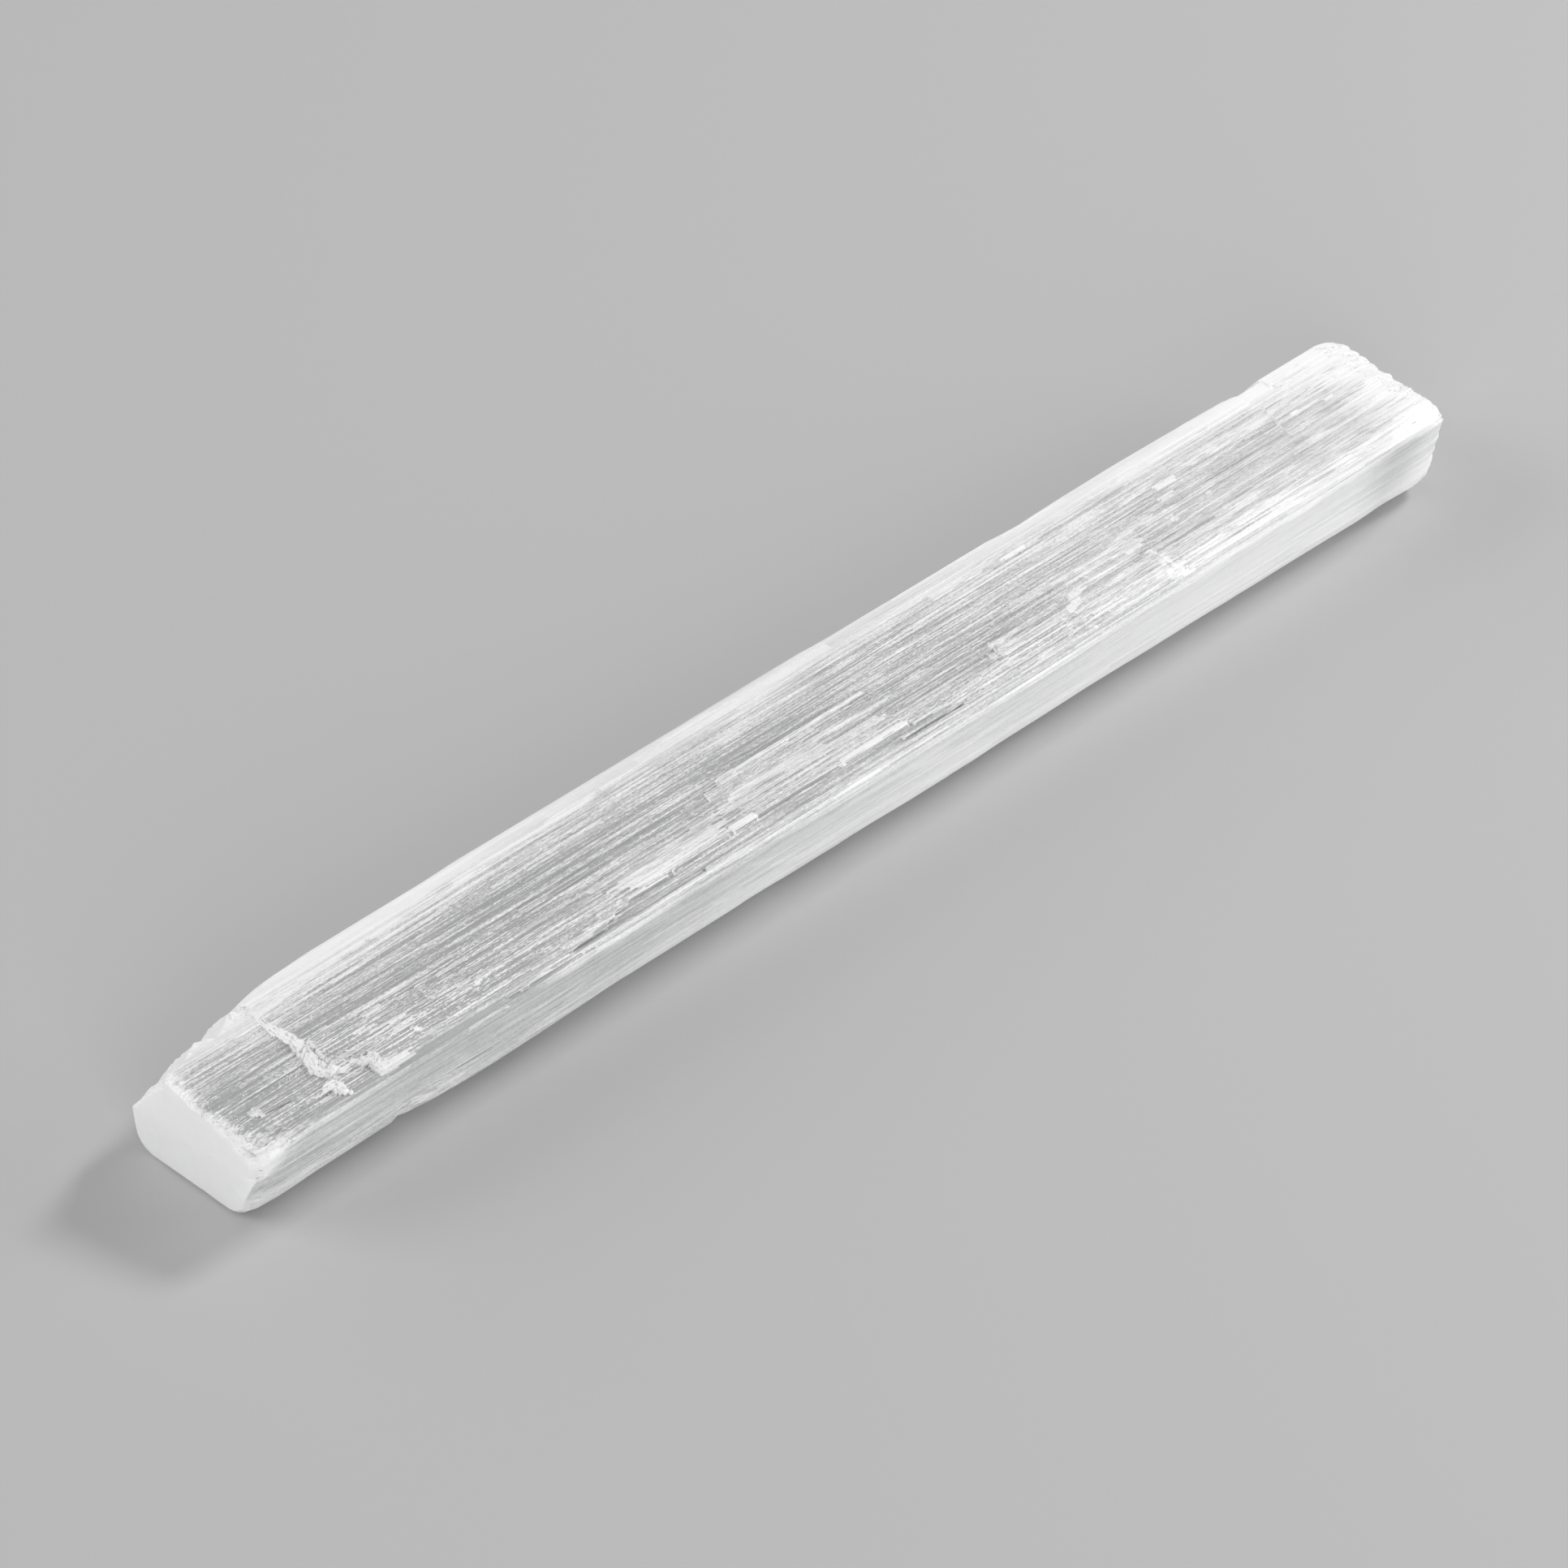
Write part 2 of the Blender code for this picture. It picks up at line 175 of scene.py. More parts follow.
# Split layers of the top, as (rise, whiteness added, raggedness, outline in x and y). Overlapping layers add
# up, and raggedness is how far from the outline a strand may snap.
LAYERS = {
    "ledge_split": (-0.5, 0.05, 0.15, (
        (-87.5, -6.4), (-86.5, -6.2), (-86.1, -4.6), (-86.2, -3), (-86.5, -1.8), (-87.1, -1.8))),
    "foot_flake": (0.5, 0.9, 0.3, (
        (-90, -9.2), (-88.6, -8), (-87.4, -7.4), (-86.9, -9.4), (-87.6, -11.4), (-88.4, -11.2),
        (-88.2, -9.4))),
    "corner_flake": (0.2, 0.9, 0.3, (
        (-98.2, -5.7), (-97.2, -5), (-96.6, -5.9), (-96.9, -6.9), (-97.6, -6.6))),
    "front_patch": (0.1, 0.5, 0.5, (
        (-83, -11.8), (-82.4, -10), (-80.2, -10.1), (-77.8, -10.5), (-78.1, -11.6))),
    "lath_at_step": (0.14, 0.7, 0.3, ((-81.2, -4.5), (-79.8, -4.6), (-77.8, -5.4), (-81, -5.4))),
    "white_lath_1": (0.08, 0.7, 0.5, ((-79.6, -5.8), (-73.9, -5.9), (-74.2, -6.35), (-79.2, -6.25))),
    "white_patch_1": (0.1, 0.6, 0.4, ((-78.7, -3), (-75.6, -3), (-75.4, -3.9), (-77.9, -4.2))),
    "white_patch_2": (0.14, 0.7, 0.1, ((-75.9, -8.5), (-75.3, -8.5), (-74.5, -9.8), (-75.2, -9.8))),
    "white_patch_3": (0.1, 0.6, 0.3, ((-70.8, -4.1), (-70.4, -3.1), (-69.2, -3.2), (-69.4, -4.1))),
    "white_lath_2": (0.12, 0.8, 0.5, ((-68, -4.15), (-67.6, -3.7), (-62.2, -3.5), (-62.8, -4.05))),
    "white_lath_3": (0.08, 0.7, 0.8, (
        (-71.6, -6), (-68, -5.9), (-64.3, -6.6), (-64.6, -6.9), (-71.2, -6.4))),
    "white_patch_4": (0.1, 0.7, 0.2, ((-65.2, -7.8), (-64.2, -7.8), (-64.3, -8.2), (-65.1, -8.3))),
    # The long trough's whiteness of -0.15 is painted shade in the trough
    "long_trough": (-0.45, -0.15, 0.3, (
        (-53.5, -11), (-50.8, -10.75), (-46.9, -10.6), (-46.4, -10.2), (-44.7, -10.15), (-44.2, -9.45),
        (-35.6, -9.4), (-34.6, -9.1), (-32.7, -8.95), (-20.5, -9), (-20.4, -8.7), (-6.4, -8.6),
        (-6.2, -9), (4.9, -9.1), (12, -9.5), (3, -9.9), (14, -10.3), (2, -10.6), (8, -10.75),
        (-24, -10.85), (-53, -11.1))),
    "trough_end": (-0.2, -0.04, 3.5, (
        (7, -9), (23, -8.2), (35, -8), (36, -11.1), (9, -11))),
    "ridge_split": (-0.3, 0, 0.9, (
        (-63.8, -11.4), (-61, -11.7), (-58, -11.6), (-54, -11.4), (-51, -11.6), (-48, -12.6),
        (-63, -12.6))),
    "long_plate": (0.1, 0.25, 2, (
        (-64, -10.8), (-52, -9.6), (-45, -8.8), (-41, -8.8), (-41.2, -9.4), (-44.4, -9.45),
        (-44.8, -10.15), (-46.5, -10.2), (-47, -10.6), (-51, -10.8), (-54, -11.3), (-63.8, -11.5))),
    "white_plate": (0.16, 0.4, 2.6, (
        (-42, -6), (-24.5, -5), (-24.5, -9), (-34.4, -9.05), (-35.6, -9.4), (-40.8, -9.4))),
    "edge_lath_1": (0.26, 0.6, 0.05, (
        (-24.5, -8.1), (-20.6, -8.1), (-20.3, -8.6), (-20.7, -9), (-24.5, -9))),
    "grey_dent": (-0.06, -0.06, 0.3, ((-24.4, -5.2), (-21, -6.4), (-21.2, -8), (-24.4, -8))),
    "raised_lath_1": (0.3, 0.15, 0.1, (
        (-19.2, -0.45), (5.3, -0.5), (5, -1.2), (-4, -1.3), (-19.8, -1.4))),
    "raised_lath_1_end": (0.05, 0.5, 0.4, ((-19.2, -0.45), (-16.6, -0.5), (-16.4, -1.4), (-19.8, -1.4))),
    "raised_lath_1_edge": (0.06, 0.6, 0, ((-19.2, -0.45), (5.3, -0.45), (5, -0.85), (-19.4, -0.85))),
    "raised_lath_2": (0.22, 0.35, 0.3, (
        (-22.4, -1.45), (-14.5, -1.4), (-4, -1.4), (-4, -2.6), (-22.8, -2.8))),
    "middle_plate": (0.12, 0.4, 0.7, (
        (-24, -5.1), (-19, -3.5), (-5, -3.4), (-5, -5), (3.2, -5.1), (3.2, -5.9), (-22, -6))),
    "edge_lath_2": (0.2, 0.6, 0.1, ((-6, -8), (4.6, -8), (5, -8.6), (4.8, -9.05), (-6.4, -9))),
    "plain_front": (0.05, 0.25, 0.6, ((-20, -7.4), (-6.5, -7.4), (-6.5, -8.6), (-20.2, -8.6))),
    "sunk_middle": (-0.28, -0.1, 0.3, ((4.5, -5), (23, -4.8), (23.1, -7.8), (4.9, -7.8))),
    "slanted_flake": (0.15, 0.4, 0.2, ((21.2, -6.6), (22.3, -5.9), (22.4, -6.6), (21.6, -7.2))),
    "small_lath_1": (0.1, 0.45, 0.4, ((13.7, -6), (16.1, -6), (16, -6.35), (13.9, -6.35))),
    "small_lath_2": (0.1, 0.45, 0.4, ((13.4, 2.3), (15, 2.3), (14.9, 1.9), (13.5, 1.9))),
    "step_plate": (0.1, 0.3, 0.3, ((23, -4.7), (26.5, -6.3), (26.5, -7.7), (23, -7.8))),
    "shoulder_patch_1": (0.08, 0.2, 1.6, ((24.3, 7.1), (28.5, 7.6), (36, 7.4), (36, 6.4), (24.4, 5.8))),
    "shoulder_lath": (0.12, 0.4, 0.4, ((36.2, 6.4), (40.5, 6.3), (40.4, 5.8), (36.4, 5.8))),
    "far_plate_1": (0.1, 0.3, 0.9, (
        (36.4, -1.7), (39.5, -1.45), (50.4, -1.7), (51.4, -2.7), (50.9, -4), (49.5, -4.1), (45, -3.3),
        (41.5, -3.3), (41, -3.9), (38.4, -3), (36.8, -2.7))),
    "far_flake": (0.14, 0.45, 0.4, (
        (38.3, -4.4), (39.8, -5.2), (37.5, -5.9), (36.6, -7.1), (35, -7.3), (35.2, -6.3), (36.4, -5.2),
        (37, -4.3))),
    "far_plate_2": (0.12, 0.15, 0.9, (
        (35, -7.6), (49.9, -7.5), (50.2, -5.3), (50.9, -5.3), (50.6, -7.4), (50.4, -9.4), (49.9, -11.1),
        (35.2, -11))),
    "after_step": (0.06, 0.4, 1.2, (
        (50.9, -5.2), (52, -6), (51.8, -11.4), (50, -11.3), (50.6, -7.4))),
    "step_edge": (0.1, 0.6, 0.1, (
        (50.1, -5.2), (50.9, -5.2), (51.2, -7.4), (51, -9.6), (50.4, -9.6), (50.6, -7.4))),
    "far_tray": (-0.09, -0.06, 3, ((51.4, -2.6), (56, 0.6), (80.4, 2.6), (80.6, -5), (52, -6.3))),
    "bright_lath": (0.2, 0.65, 0.2, ((60.5, 3.2), (64.2, 3.2), (64, 2.25), (60.7, 2.2))),
    "bright_line_1": (0.1, 0.45, 0.3, ((59.2, 0.95), (61.6, 0.95), (61.6, 0.55), (59.4, 0.55))),
    "bright_line_2": (0.1, 0.45, 0.8, ((68, 3.5), (82, 3.5), (82, 3), (68.5, 3))),
    "far_patch": (0.1, 0.3, 0.4, ((57.2, -2), (58.5, -2), (58.4, -3.6), (57.6, -3.6))),
    "far_patch_2": (0.1, 0.3, 0.4, ((64.4, -2.1), (65.6, -2.1), (65.7, -2.9), (64.6, -2.9))),
    "far_cap": (0.18, 0.05, 0.1, (
        (103, -1.8), (81.1, -1.8), (81.4, 0.4), (81.9, 2), (82.4, 3.4), (82.9, 5.3), (88.6, 5.2),
        (103, 5.4))),
    "cap_block": (0, -0.05, 0.1, (
        (103, 5.4), (88.4, 5.2), (88.9, 6), (88.2, 6.7), (87.5, 8), (87.3, 9.7), (87.3, 14),
        (103, 14))),
    "scoop": (-0.36, 1.2, 0.2, (
        (82.2, 14), (82.6, 6.6), (88.3, 6.5), (87.5, 8), (87.3, 9.7), (87.3, 14))),
    "cap_lath": (0.12, 0.4, 0.6, ((83.8, 1.7), (91, 1), (90.8, 0.5), (84, 0.9))),
}

# The terrace at the sawn end: three thin layers that end one just past another
TERRACE = (-0.5, -0.02, 0.12)  # rise, whiteness added and raggedness of each
TERRACE_ENDS = ((-0.14, 0.25), (0.0, 0.0), (0.16, -0.25))  # (further along, further back at the return)
RETURN_FROM, RETURN_TO = -9.0, -7.0  # between these y the terrace's edge turns along the bar
TERRACE_EDGE = (
    (-82.8, -14), (-83, -11.8), (-82.5, -10.2), (-82.3, -8.8), (-83.4, -7.9), (-85.4, -7.6), (-87.1, -7.4),
    (-87.6, -6.2), (-87.9, -5.2), (-87.7, -4.2), (-87.2, -2.9), (-86.8, -1.2), (-86.7, 0.2), (-86.8, 1.6),
    (-87, 3.2), (-87, 5.2), (-86.8, 6.6), (-86.4, 14),
)
# The band along the terrace's ends is partly chalky and partly painted light, standing in for light coming
# out through the ledge's wall
RIM_HALF, RIM_WHITE_AND_GLOW, RIM_RAGGED = 0.2, 0.5, 0.1  # the white band along the terrace's ends
for number, (along, aside) in enumerate(TERRACE_ENDS):
    edge = [(x + along, y + aside * (RETURN_FROM < y < RETURN_TO)) for x, y in TERRACE_EDGE]
    LAYERS[f"terrace_{number}"] = (*TERRACE, ((-103, -14), *edge, (-103, 14)))
band = [(x - RIM_HALF, y) for x, y in TERRACE_EDGE] + [(x + RIM_HALF, y) for x, y in TERRACE_EDGE[::-1]]
LAYERS["terrace_rim"] = (0.0, RIM_WHITE_AND_GLOW, RIM_RAGGED, tuple(band))

# Single split fibres that show as long lines, as (y, x from, x to, rise, whiteness added)
SPLIT_LINES = (
    (0.2, -86, -45, -0.05, -0.4), (-1.5, -85, -20, -0.05, -0.4), (-2.8, -75, -30, -0.05, -0.4),
    (2, -50, -5, -0.05, -0.35), (5.9, 5, 24, -0.04, -0.35), (5.9, 40, 88, -0.04, -0.35),
    (3.6, -84, -52, -0.03, -0.25), (-0.6, -24, -2, -0.04, -0.3), (-6.35, 52, 61, -0.05, -0.4),
    (-8, 23, 34, -0.05, -0.4), (-11.1, 35, 49, -0.05, -0.4), (-4.3, 6, 34, -0.05, -0.35),
    (-5.9, 6, 34, -0.04, -0.3), (-3.3, -98, -89, -0.04, -0.3), (-4.9, -62, -25, 0.04, 0.35),
    (-6.2, -62, -44, 0.04, 0.35), (3.3, 68, 81, 0.03, 0.35), (-7.6, -66, -46, 0.04, 0.3),
    (-11.75, -95, -62, 0, -0.2), (-11.3, -95, -62, 0, -0.2),
)
LINE_REACH = 0.2  # how far a strand's middle may be from the line
LINE_RAGGED = 3.0  # how far a line may start and end before or after its place


def crossings(outline, y):
    """The x at which a closed outline crosses the line at y, in order."""
    xs = []
    for (x0, y0), (x1, y1) in zip(outline, outline[1:] + outline[:1]):
        if (y0 <= y) != (y1 <= y):
            xs.append(x0 + (x1 - x0) * (y - y0) / (y1 - y0))
    return sorted(xs)


# Fibre ends away from the split layers
LATH_LENGTH = (7.0, 34.0)  # how far a strand keeps its own height
LATH_RELIEF = 0.022
SIDE_RELIEF = 0.4  # share of that relief on the sides; the underside has none
PROUD_CHANCE, PROUD = 0.12, 0.05  # a strand that stands proud of its neighbours
SUNK_CHANCE, SUNK = 0.12, 0.06
TOP_TONES, SIDE_TONES = 0.17, 0.05  # how much strands differ in whiteness


def clamp(values):
    return np.clip(values, 0.0, 1.0)


def smooth(values):
    values = clamp(values)
    return values * values * (3 - 2 * values)


def ramp(values, start, over):
    """An even rise from 0 at start to 1 at start + over, which may lie further back."""
    return clamp((values - start) / over)


def ease(values, start, over):
    """A ramp that starts and ends softly."""
    return smooth((values - start) / over)


def read(table, places):
    """What a table of (place, value) rows says at these places."""
    return np.interp(places, *zip(*table))


# The terrace thins out at the front ridge, and slowly towards the rubbed back
TERRACE_FRONT, TERRACE_BACK = (FRONT + 0.3, 2.6), (7.6, -10.0)  # (y, over)


def layer_share(name, y):
    if not name.startswith("terrace_"):
        return 1.0
    return float(ease(y, *TERRACE_FRONT) * ramp(y, *TERRACE_BACK))


def layer_steps(y):
    """Where the split layers and lines raise, lower or whiten a strand of the top."""
    steps = []
    for name, (rise, white, ragged, outline) in LAYERS.items():
        share = layer_share(name, y)
        for k, x in enumerate(crossings(outline, y)):
            way = share * (1 if k % 2 == 0 else -1)
            steps.append((x + rng.uniform(-ragged, ragged), way * rise, way * white))
    for line_y, start, end, rise, white in SPLIT_LINES:
        if abs(y - line_y) < LINE_REACH:
            for x, way in ((start, 1), (end, -1)):
                steps.append((x + rng.uniform(-LINE_RAGGED, LINE_RAGGED), way * rise, way * white))
    return steps


def strand_steps(y, on_top, above):
    """Where one strand changes height, as a list of (x, rise, whiteness added)."""
    steps = layer_steps(y) if on_top else []
    share = 1.0 if on_top else (SIDE_RELIEF if above else 0.0)
    tones = TOP_TONES if on_top else SIDE_TONES
    x, rise, white = NEAR - 5, 0.0, 0.0
    while x < FAR:
        pick = rng.random()
        new_rise = share * rng.uniform(-LATH_RELIEF, LATH_RELIEF)
        if pick < PROUD_CHANCE:
            new_rise += share * PROUD
        elif pick > 1 - SUNK_CHANCE:
            new_rise -= share * SUNK
        new_white = rng.uniform(-tones, tones)
        steps.append((x, new_rise - rise, new_white - white))
        rise, white = new_rise, new_white
        x += rng.uniform(*LATH_LENGTH)
    return sorted(steps)


SNAP = (0.03, 0.22)  # half the length of a lath's steep end: the least, and more for each millimetre of step
CLOSEST = 0.06  # least distance between two snaps
BARE_START = 0.3  # a step closer than this to the sawn end counts for the whole strand
BARE_STATIONS = 8  # stations at the broken end that have no step
LOOSE = 0.05  # stations between two snaps keep their place if it is this far from both


def run_strand(steps):
    """Stations, heights and whiteness along one strand, with a pair of stations at each step."""
    places = stations.copy()
    heights = np.zeros(len(places))
    whites = np.zeros(len(places))
    fixed, fixed_x = [0], [NEAR]
    for x, rise, white in steps:
        if x <= NEAR + BARE_START:
            heights += rise
            whites += white
            continue
        i = max(int(np.searchsorted(stations, x)), fixed[-1] + 2)
        if i >= len(places) - BARE_STATIONS:
            break
        snap = SNAP[0] + SNAP[1] * abs(rise)
        x = max(x - snap, fixed_x[-1] + CLOSEST)
        fixed += [i - 1, i]
        fixed_x += [x, x + 2 * snap]
        heights[i:] += rise
        whites[i:] += white
    last = len(places) - BARE_STATIONS
    if fixed[-1] < last and fixed_x[-1] < stations[last] - BARE_START:
        fixed.append(last)
        fixed_x.append(stations[last])
    places[: fixed[-1] + 1] = np.interp(np.arange(fixed[-1] + 1), fixed, fixed_x)
    for a, b, xa, xb in zip(fixed, fixed[1:], fixed_x, fixed_x[1:]):
        own = stations[a + 1 : b]
        if len(own) and own[0] > xa + LOOSE and own[-1] < xb - LOOSE:
            places[a + 1 : b] = own
    return places, heights, whites


LATTICE = 64  # cells before the noise repeats


def lattice_noise(places, size, seed):
    """Smooth random values from -1 to 1 at (..., 3) places, changing over about one size."""
    lattice = np.random.default_rng(seed).uniform(-1, 1, (LATTICE, LATTICE, LATTICE))
    cell = places / np.asarray(size, float)
    corner = np.floor(cell).astype(int)
    part = cell - corner
    part = part * part * (3 - 2 * part)
    total = np.zeros(places.shape[:-1])
    for steps in np.ndindex(2, 2, 2):
        share = np.ones(total.shape)
        for axis, step in enumerate(steps):
            share *= part[..., axis] if step else 1 - part[..., axis]
        k = (corner + steps) % LATTICE
        total += share * lattice[k[..., 0], k[..., 1], k[..., 2]]
    return total


# --- lay the strands out as a grid: columns round the section, stations along it
TOP_FACING, TOP_ABOVE = 0.35, 9.0  # the split top faces up at least this much, and lies above this z
UNDER_FACING = -0.8  # the underside faces down more than this
columns = []  # (walked distance, crown height, strand)
strand_runs = []
for number, (start, end) in enumerate(strands):
    middle = section.at(np.array((start + end) / 2))
    facing = section.out(np.array((start + end) / 2))
    on_top = facing[1] > TOP_FACING and middle[1] > TOP_ABOVE
    strand_runs.append(run_strand(strand_steps(middle[0], on_top, facing[1] > UNDER_FACING)))
    for share, crown in COLUMNS:
        walked = start + SEAM + share * (end - start - 2 * SEAM)
        columns.append((walked, crown * CROWN * (end - start), number))
column_walk, column_crown, column_strand = (np.array(column)[:, None] for column in zip(*columns))
column_strand = column_strand[:, 0]
base = section.at(column_walk[:, 0])
out = section.out(column_walk[:, 0])
side, level = base[:, :1], base[:, 1:]  # y and z of each column on the smooth outline
backward, upward = out[:, :1], out[:, 1:]  # how far each column faces the back, and up
x, rise, white = (np.stack(part) for part in zip(*(strand_runs[k] for k in column_strand)))
rise += column_crown
PLATE_PALE = (0.15, 0.35)  # from this whiteness, and over this much more, a strand's stretch is a pale plate
plated = ease(white, *PLATE_PALE)
jump_along = np.abs(np.diff(rise, axis=1))  # height of each strand's own steps
jump_across = np.roll(rise, -1, axis=0) - rise  # height of the next strand over this one

# The far side of the terrace is rubbed smooth
RUBBED_SIDE, RUBBED_END = (3.2, 1.8), (-86.9, -1.2)  # (y, over) and (x, over)


def evened(values, reach):
    """Values evened out over this many neighbours to each side."""
    return sum(np.roll(values, k, axis=0) for k in range(-reach, reach + 1)) / (2 * reach + 1)


rubbed = ease(side, *RUBBED_SIDE) * (upward > TOP_FACING) * ease(x, *RUBBED_END)
rise += rubbed * (evened(rise, 8) - rise)
white += rubbed * (evened(white, 8) - white)

# Slow swells of the whole surface, and finer unevenness along each strand, as (depth, size, seed)
SWELLS = ((0.10, (28.0, 9.0, 1.0), 31), (0.05, (9.0, 2.2, 1.0), 32), (0.02, (3.0, 0.5, 1.0), 33))
RESTING = -0.9  # what faces down more than this is the flat underside, which nothing lifts or lowers
unrolled = np.stack([x, np.broadcast_to(column_walk, x.shape), np.zeros_like(x)], -1)
for depth, size, seed in SWELLS:
    rise = rise + np.where(upward < RESTING, 0.0, depth * lattice_noise(unrolled, size, seed))
rise = np.where(upward < RESTING, np.minimum(rise, 0.0), rise)
y = side + backward * rise
z = np.maximum(0.0, level + upward * rise)

# Wear of the whole bar. The front face draws in towards the far end, and the back towards the sawn end.
RIDGE_WEAR, RIDGE_WEAR_X, UPPER_FRONT = 0.9, 20.0, (4.0, 6.0)  # depth, x where it starts, (z, over)
BACK_WEAR, BACK_WEAR_X = 0.8, -85.0
FOOT_LINE = (  # (x, how far the front foot stands out)
    (-101.5, -0.5), (-99.6, 0.05), (-96.0, 0.2), (-90.0, -0.05), (-77.6, -0.25), (-76.9, -0.7),
    (-76.2, -0.65), (-75.7, -0.25), (-72.0, 0.2), (-63.0, 0.43), (-54.0, 0.33), (-42.0, -0.08),
    (-20.0, -0.15), (8.0, 0.1), (18.0, 0.05), (24.0, -0.2), (38.0, -0.25), (50.0, -0.05), (87.0, 0.2),
    (92.0, 0.0), (99.0, 0.3),
)
LOWER_FRONT = (9.0, -6.0)  # (z, over)
y += RIDGE_WEAR * clamp(-backward) * ramp(z, *UPPER_FRONT) * ramp(x, RIDGE_WEAR_X, FAR - RIDGE_WEAR_X)
y -= BACK_WEAR * clamp(backward) * ramp(x, BACK_WEAR_X, NEAR - BACK_WEAR_X)
y -= read(FOOT_LINE, x) * clamp(-1.5 * backward) * ramp(z, *LOWER_FRONT)

# The back shoulder is worn down to a slope, which is lumpy towards the sawn end
SHOULDER_WEAR = (  # (x, depth)
    (-101.5, 4.6), (-98.0, 4.15), (-95.0, 2.9), (-92.0, 3.75), (-89.0, 1.95), (-86.0, 1.55), (-83.0, 0.9),
    (-80.0, 0.7), (-74.0, 0.45), (-56.0, 0.36), (-50.0, 0.18), (6.0, 0.2), (10.0, 0.42), (38.0, 0.45),
    (43.0, 0.75), (50.0, 0.55), (61.0, 0.45), (70.0, 0.55), (80.5, 0.75), (83.0, 1.15), (86.4, 1.15),
    (87.2, 0.75), (101.5, 0.75),
)
SLOPE = math.radians(38)
SHOULDER = 17.6  # distance of the unworn slope from the x axis
LUMPY, LUMP = (-83.0, -6.0), 0.2  # (x, over), and how far a lump stands out
places = np.stack([x, y, z], -1)
lumps = lattice_noise(places, (2.2, 1.6, 1.6), 41) + 0.8 * lattice_noise(places, (0.9, 0.7, 0.7), 42)
lumpy = ramp(x, *LUMPY)
worn_to = SHOULDER - read(SHOULDER_WEAR, x) + LUMP * lumps * lumpy
beyond = np.maximum(0.0, y * math.cos(SLOPE) + z * math.sin(SLOPE) - worn_to)
y -= beyond * math.cos(SLOPE)
z -= beyond * math.sin(SLOPE)

# The front ridge dives towards the sawn end
DIVE, DIVE_X = 2.4, -94.5  # depth, and the x where it starts
DIVE_SIDE, DIVE_LEVEL = (-7.5, -3.5), (7.0, 5.0)  # (y, over), (z, over)
DIVE_IN, DIVE_DOWN = 0.45, 0.9  # shares of the depth
dive = DIVE * ramp(x, DIVE_X, NEAR - DIVE_X) ** 1.7 * ease(y, *DIVE_SIDE) * ease(z, *DIVE_LEVEL)
dive *= 1 + 0.3 * lumps
y += DIVE_IN * dive
z -= DIVE_DOWN * dive

# The sawn rim is crumbled on top and rounded below
CRUMBLE, CRUMBLE_REACH = 0.55, 1.8  # depth, and how far it reaches along the bar
FRONT_CRUMBLE = (-4.0, -4.0)  # (y, over): the rim is crumbled deeper at the front
SAWN_ROUND = ((0.0, 0.4), (0.15, 0.18), (0.5, 0.0))  # (past the near end, inset)
places = np.stack([x, y, z], -1)
crumble = 0.5 + 0.5 * lattice_noise(places, (0.8, 0.9, 0.9), 51)
crumble = clamp(crumble + 0.35 * lattice_noise(places, (0.3, 0.35, 0.35), 52))
rim = clamp(1 - (x - NEAR) / CRUMBLE_REACH) ** 1.5 * clamp(2 * upward)
sink = CRUMBLE * crumble * rim * (1 + 0.6 * ease(y, *FRONT_CRUMBLE)) + read(SAWN_ROUND, x - NEAR)

# The broken rim is rounded, most of all at the ridge's corner
BREAK_ROUND = ((0.0, 1.5), (0.5, 0.8), (1.6, 0.3), (3.4, 0.0))  # (short of the far end, inset)
RIDGE_ROUND, RIDGE_ROUND_REACH = 1.8, 3.0
short = FAR - x
ragged = lattice_noise(places, (0.8, 0.9, 0.9), 53)
inset = read(BREAK_ROUND, short) * (1 + 0.3 * ragged) * (1 - 0.5 * clamp(-backward))
at_ridge = clamp(1 - np.abs(upward - 0.5) * 2.5) * clamp(-3 * backward)
inset += RIDGE_ROUND * smooth(1 - short / RIDGE_ROUND_REACH) * at_ridge
shrink = 1 - (sink + inset) / np.hypot(y - HEART[0], z - HEART[1])
y = HEART[0] + (y - HEART[0]) * shrink
z = HEART[1] + (z - HEART[1]) * shrink

# The broken end runs aslant, stops short at both corners, and is frayed
END_SLANT, END_SLANT_SIDE = 1.5, (7.0, -18.0)  # depth, (y, over)
SETBACKS = ((0.3, (-8.0, -4.0)), (2.2, (8.5, 4.0)))  # the front and the back corner, as (depth, (y, over))
FOOT_FORWARD, FOOT_SIDE, FOOT_LEVEL = 0.7, (-7.0, -3.0), (13.0, -4.0)  # the foot reaches past its ridge
FRAY, BREAK_REACH = 0.35, 9.0  # depth of the fray, and how far the break's form reaches along the bar
slanted = END_SLANT * ramp(side, *END_SLANT_SIDE)
corners = sum(depth * ramp(side, *edge) ** 2 for depth, edge in SETBACKS)
corners = corners - FOOT_FORWARD * ramp(side, *FOOT_SIDE) * ramp(level, *FOOT_LEVEL)
frayed = FRAY * (0.5 + 0.5 * lattice_noise(np.stack([0 * x, y, z], -1), (1, 0.8, 0.8), 54))
x = x - (slanted + corners + frayed) * smooth(1 - short / BREAK_REACH)

# The sawn end is rounded back at the top of its front corner, and falls back below
NEAR_CORNER, CORNER_SIDE, CORNER_LEVEL = 0.8, (-3.0, -4.0), (4.0, 7.0)  # depth, (y, over), (z, over)
UNDERCUT, UNDERCUT_FROM = 0.9, 8.0  # depth at the table, and the z below which the sawn face falls back
SAWN_REACH = 6.0  # how far the sawn end's form reaches along the bar
near_corner = NEAR_CORNER * ease(side, *CORNER_SIDE) * ease(level, *CORNER_LEVEL)


def undercut(height):
    return UNDERCUT * clamp(1 - height / UNDERCUT_FROM) ** 1.5


x = x + (near_corner + undercut(z)) * smooth(1 - (x - NEAR) / SAWN_REACH)
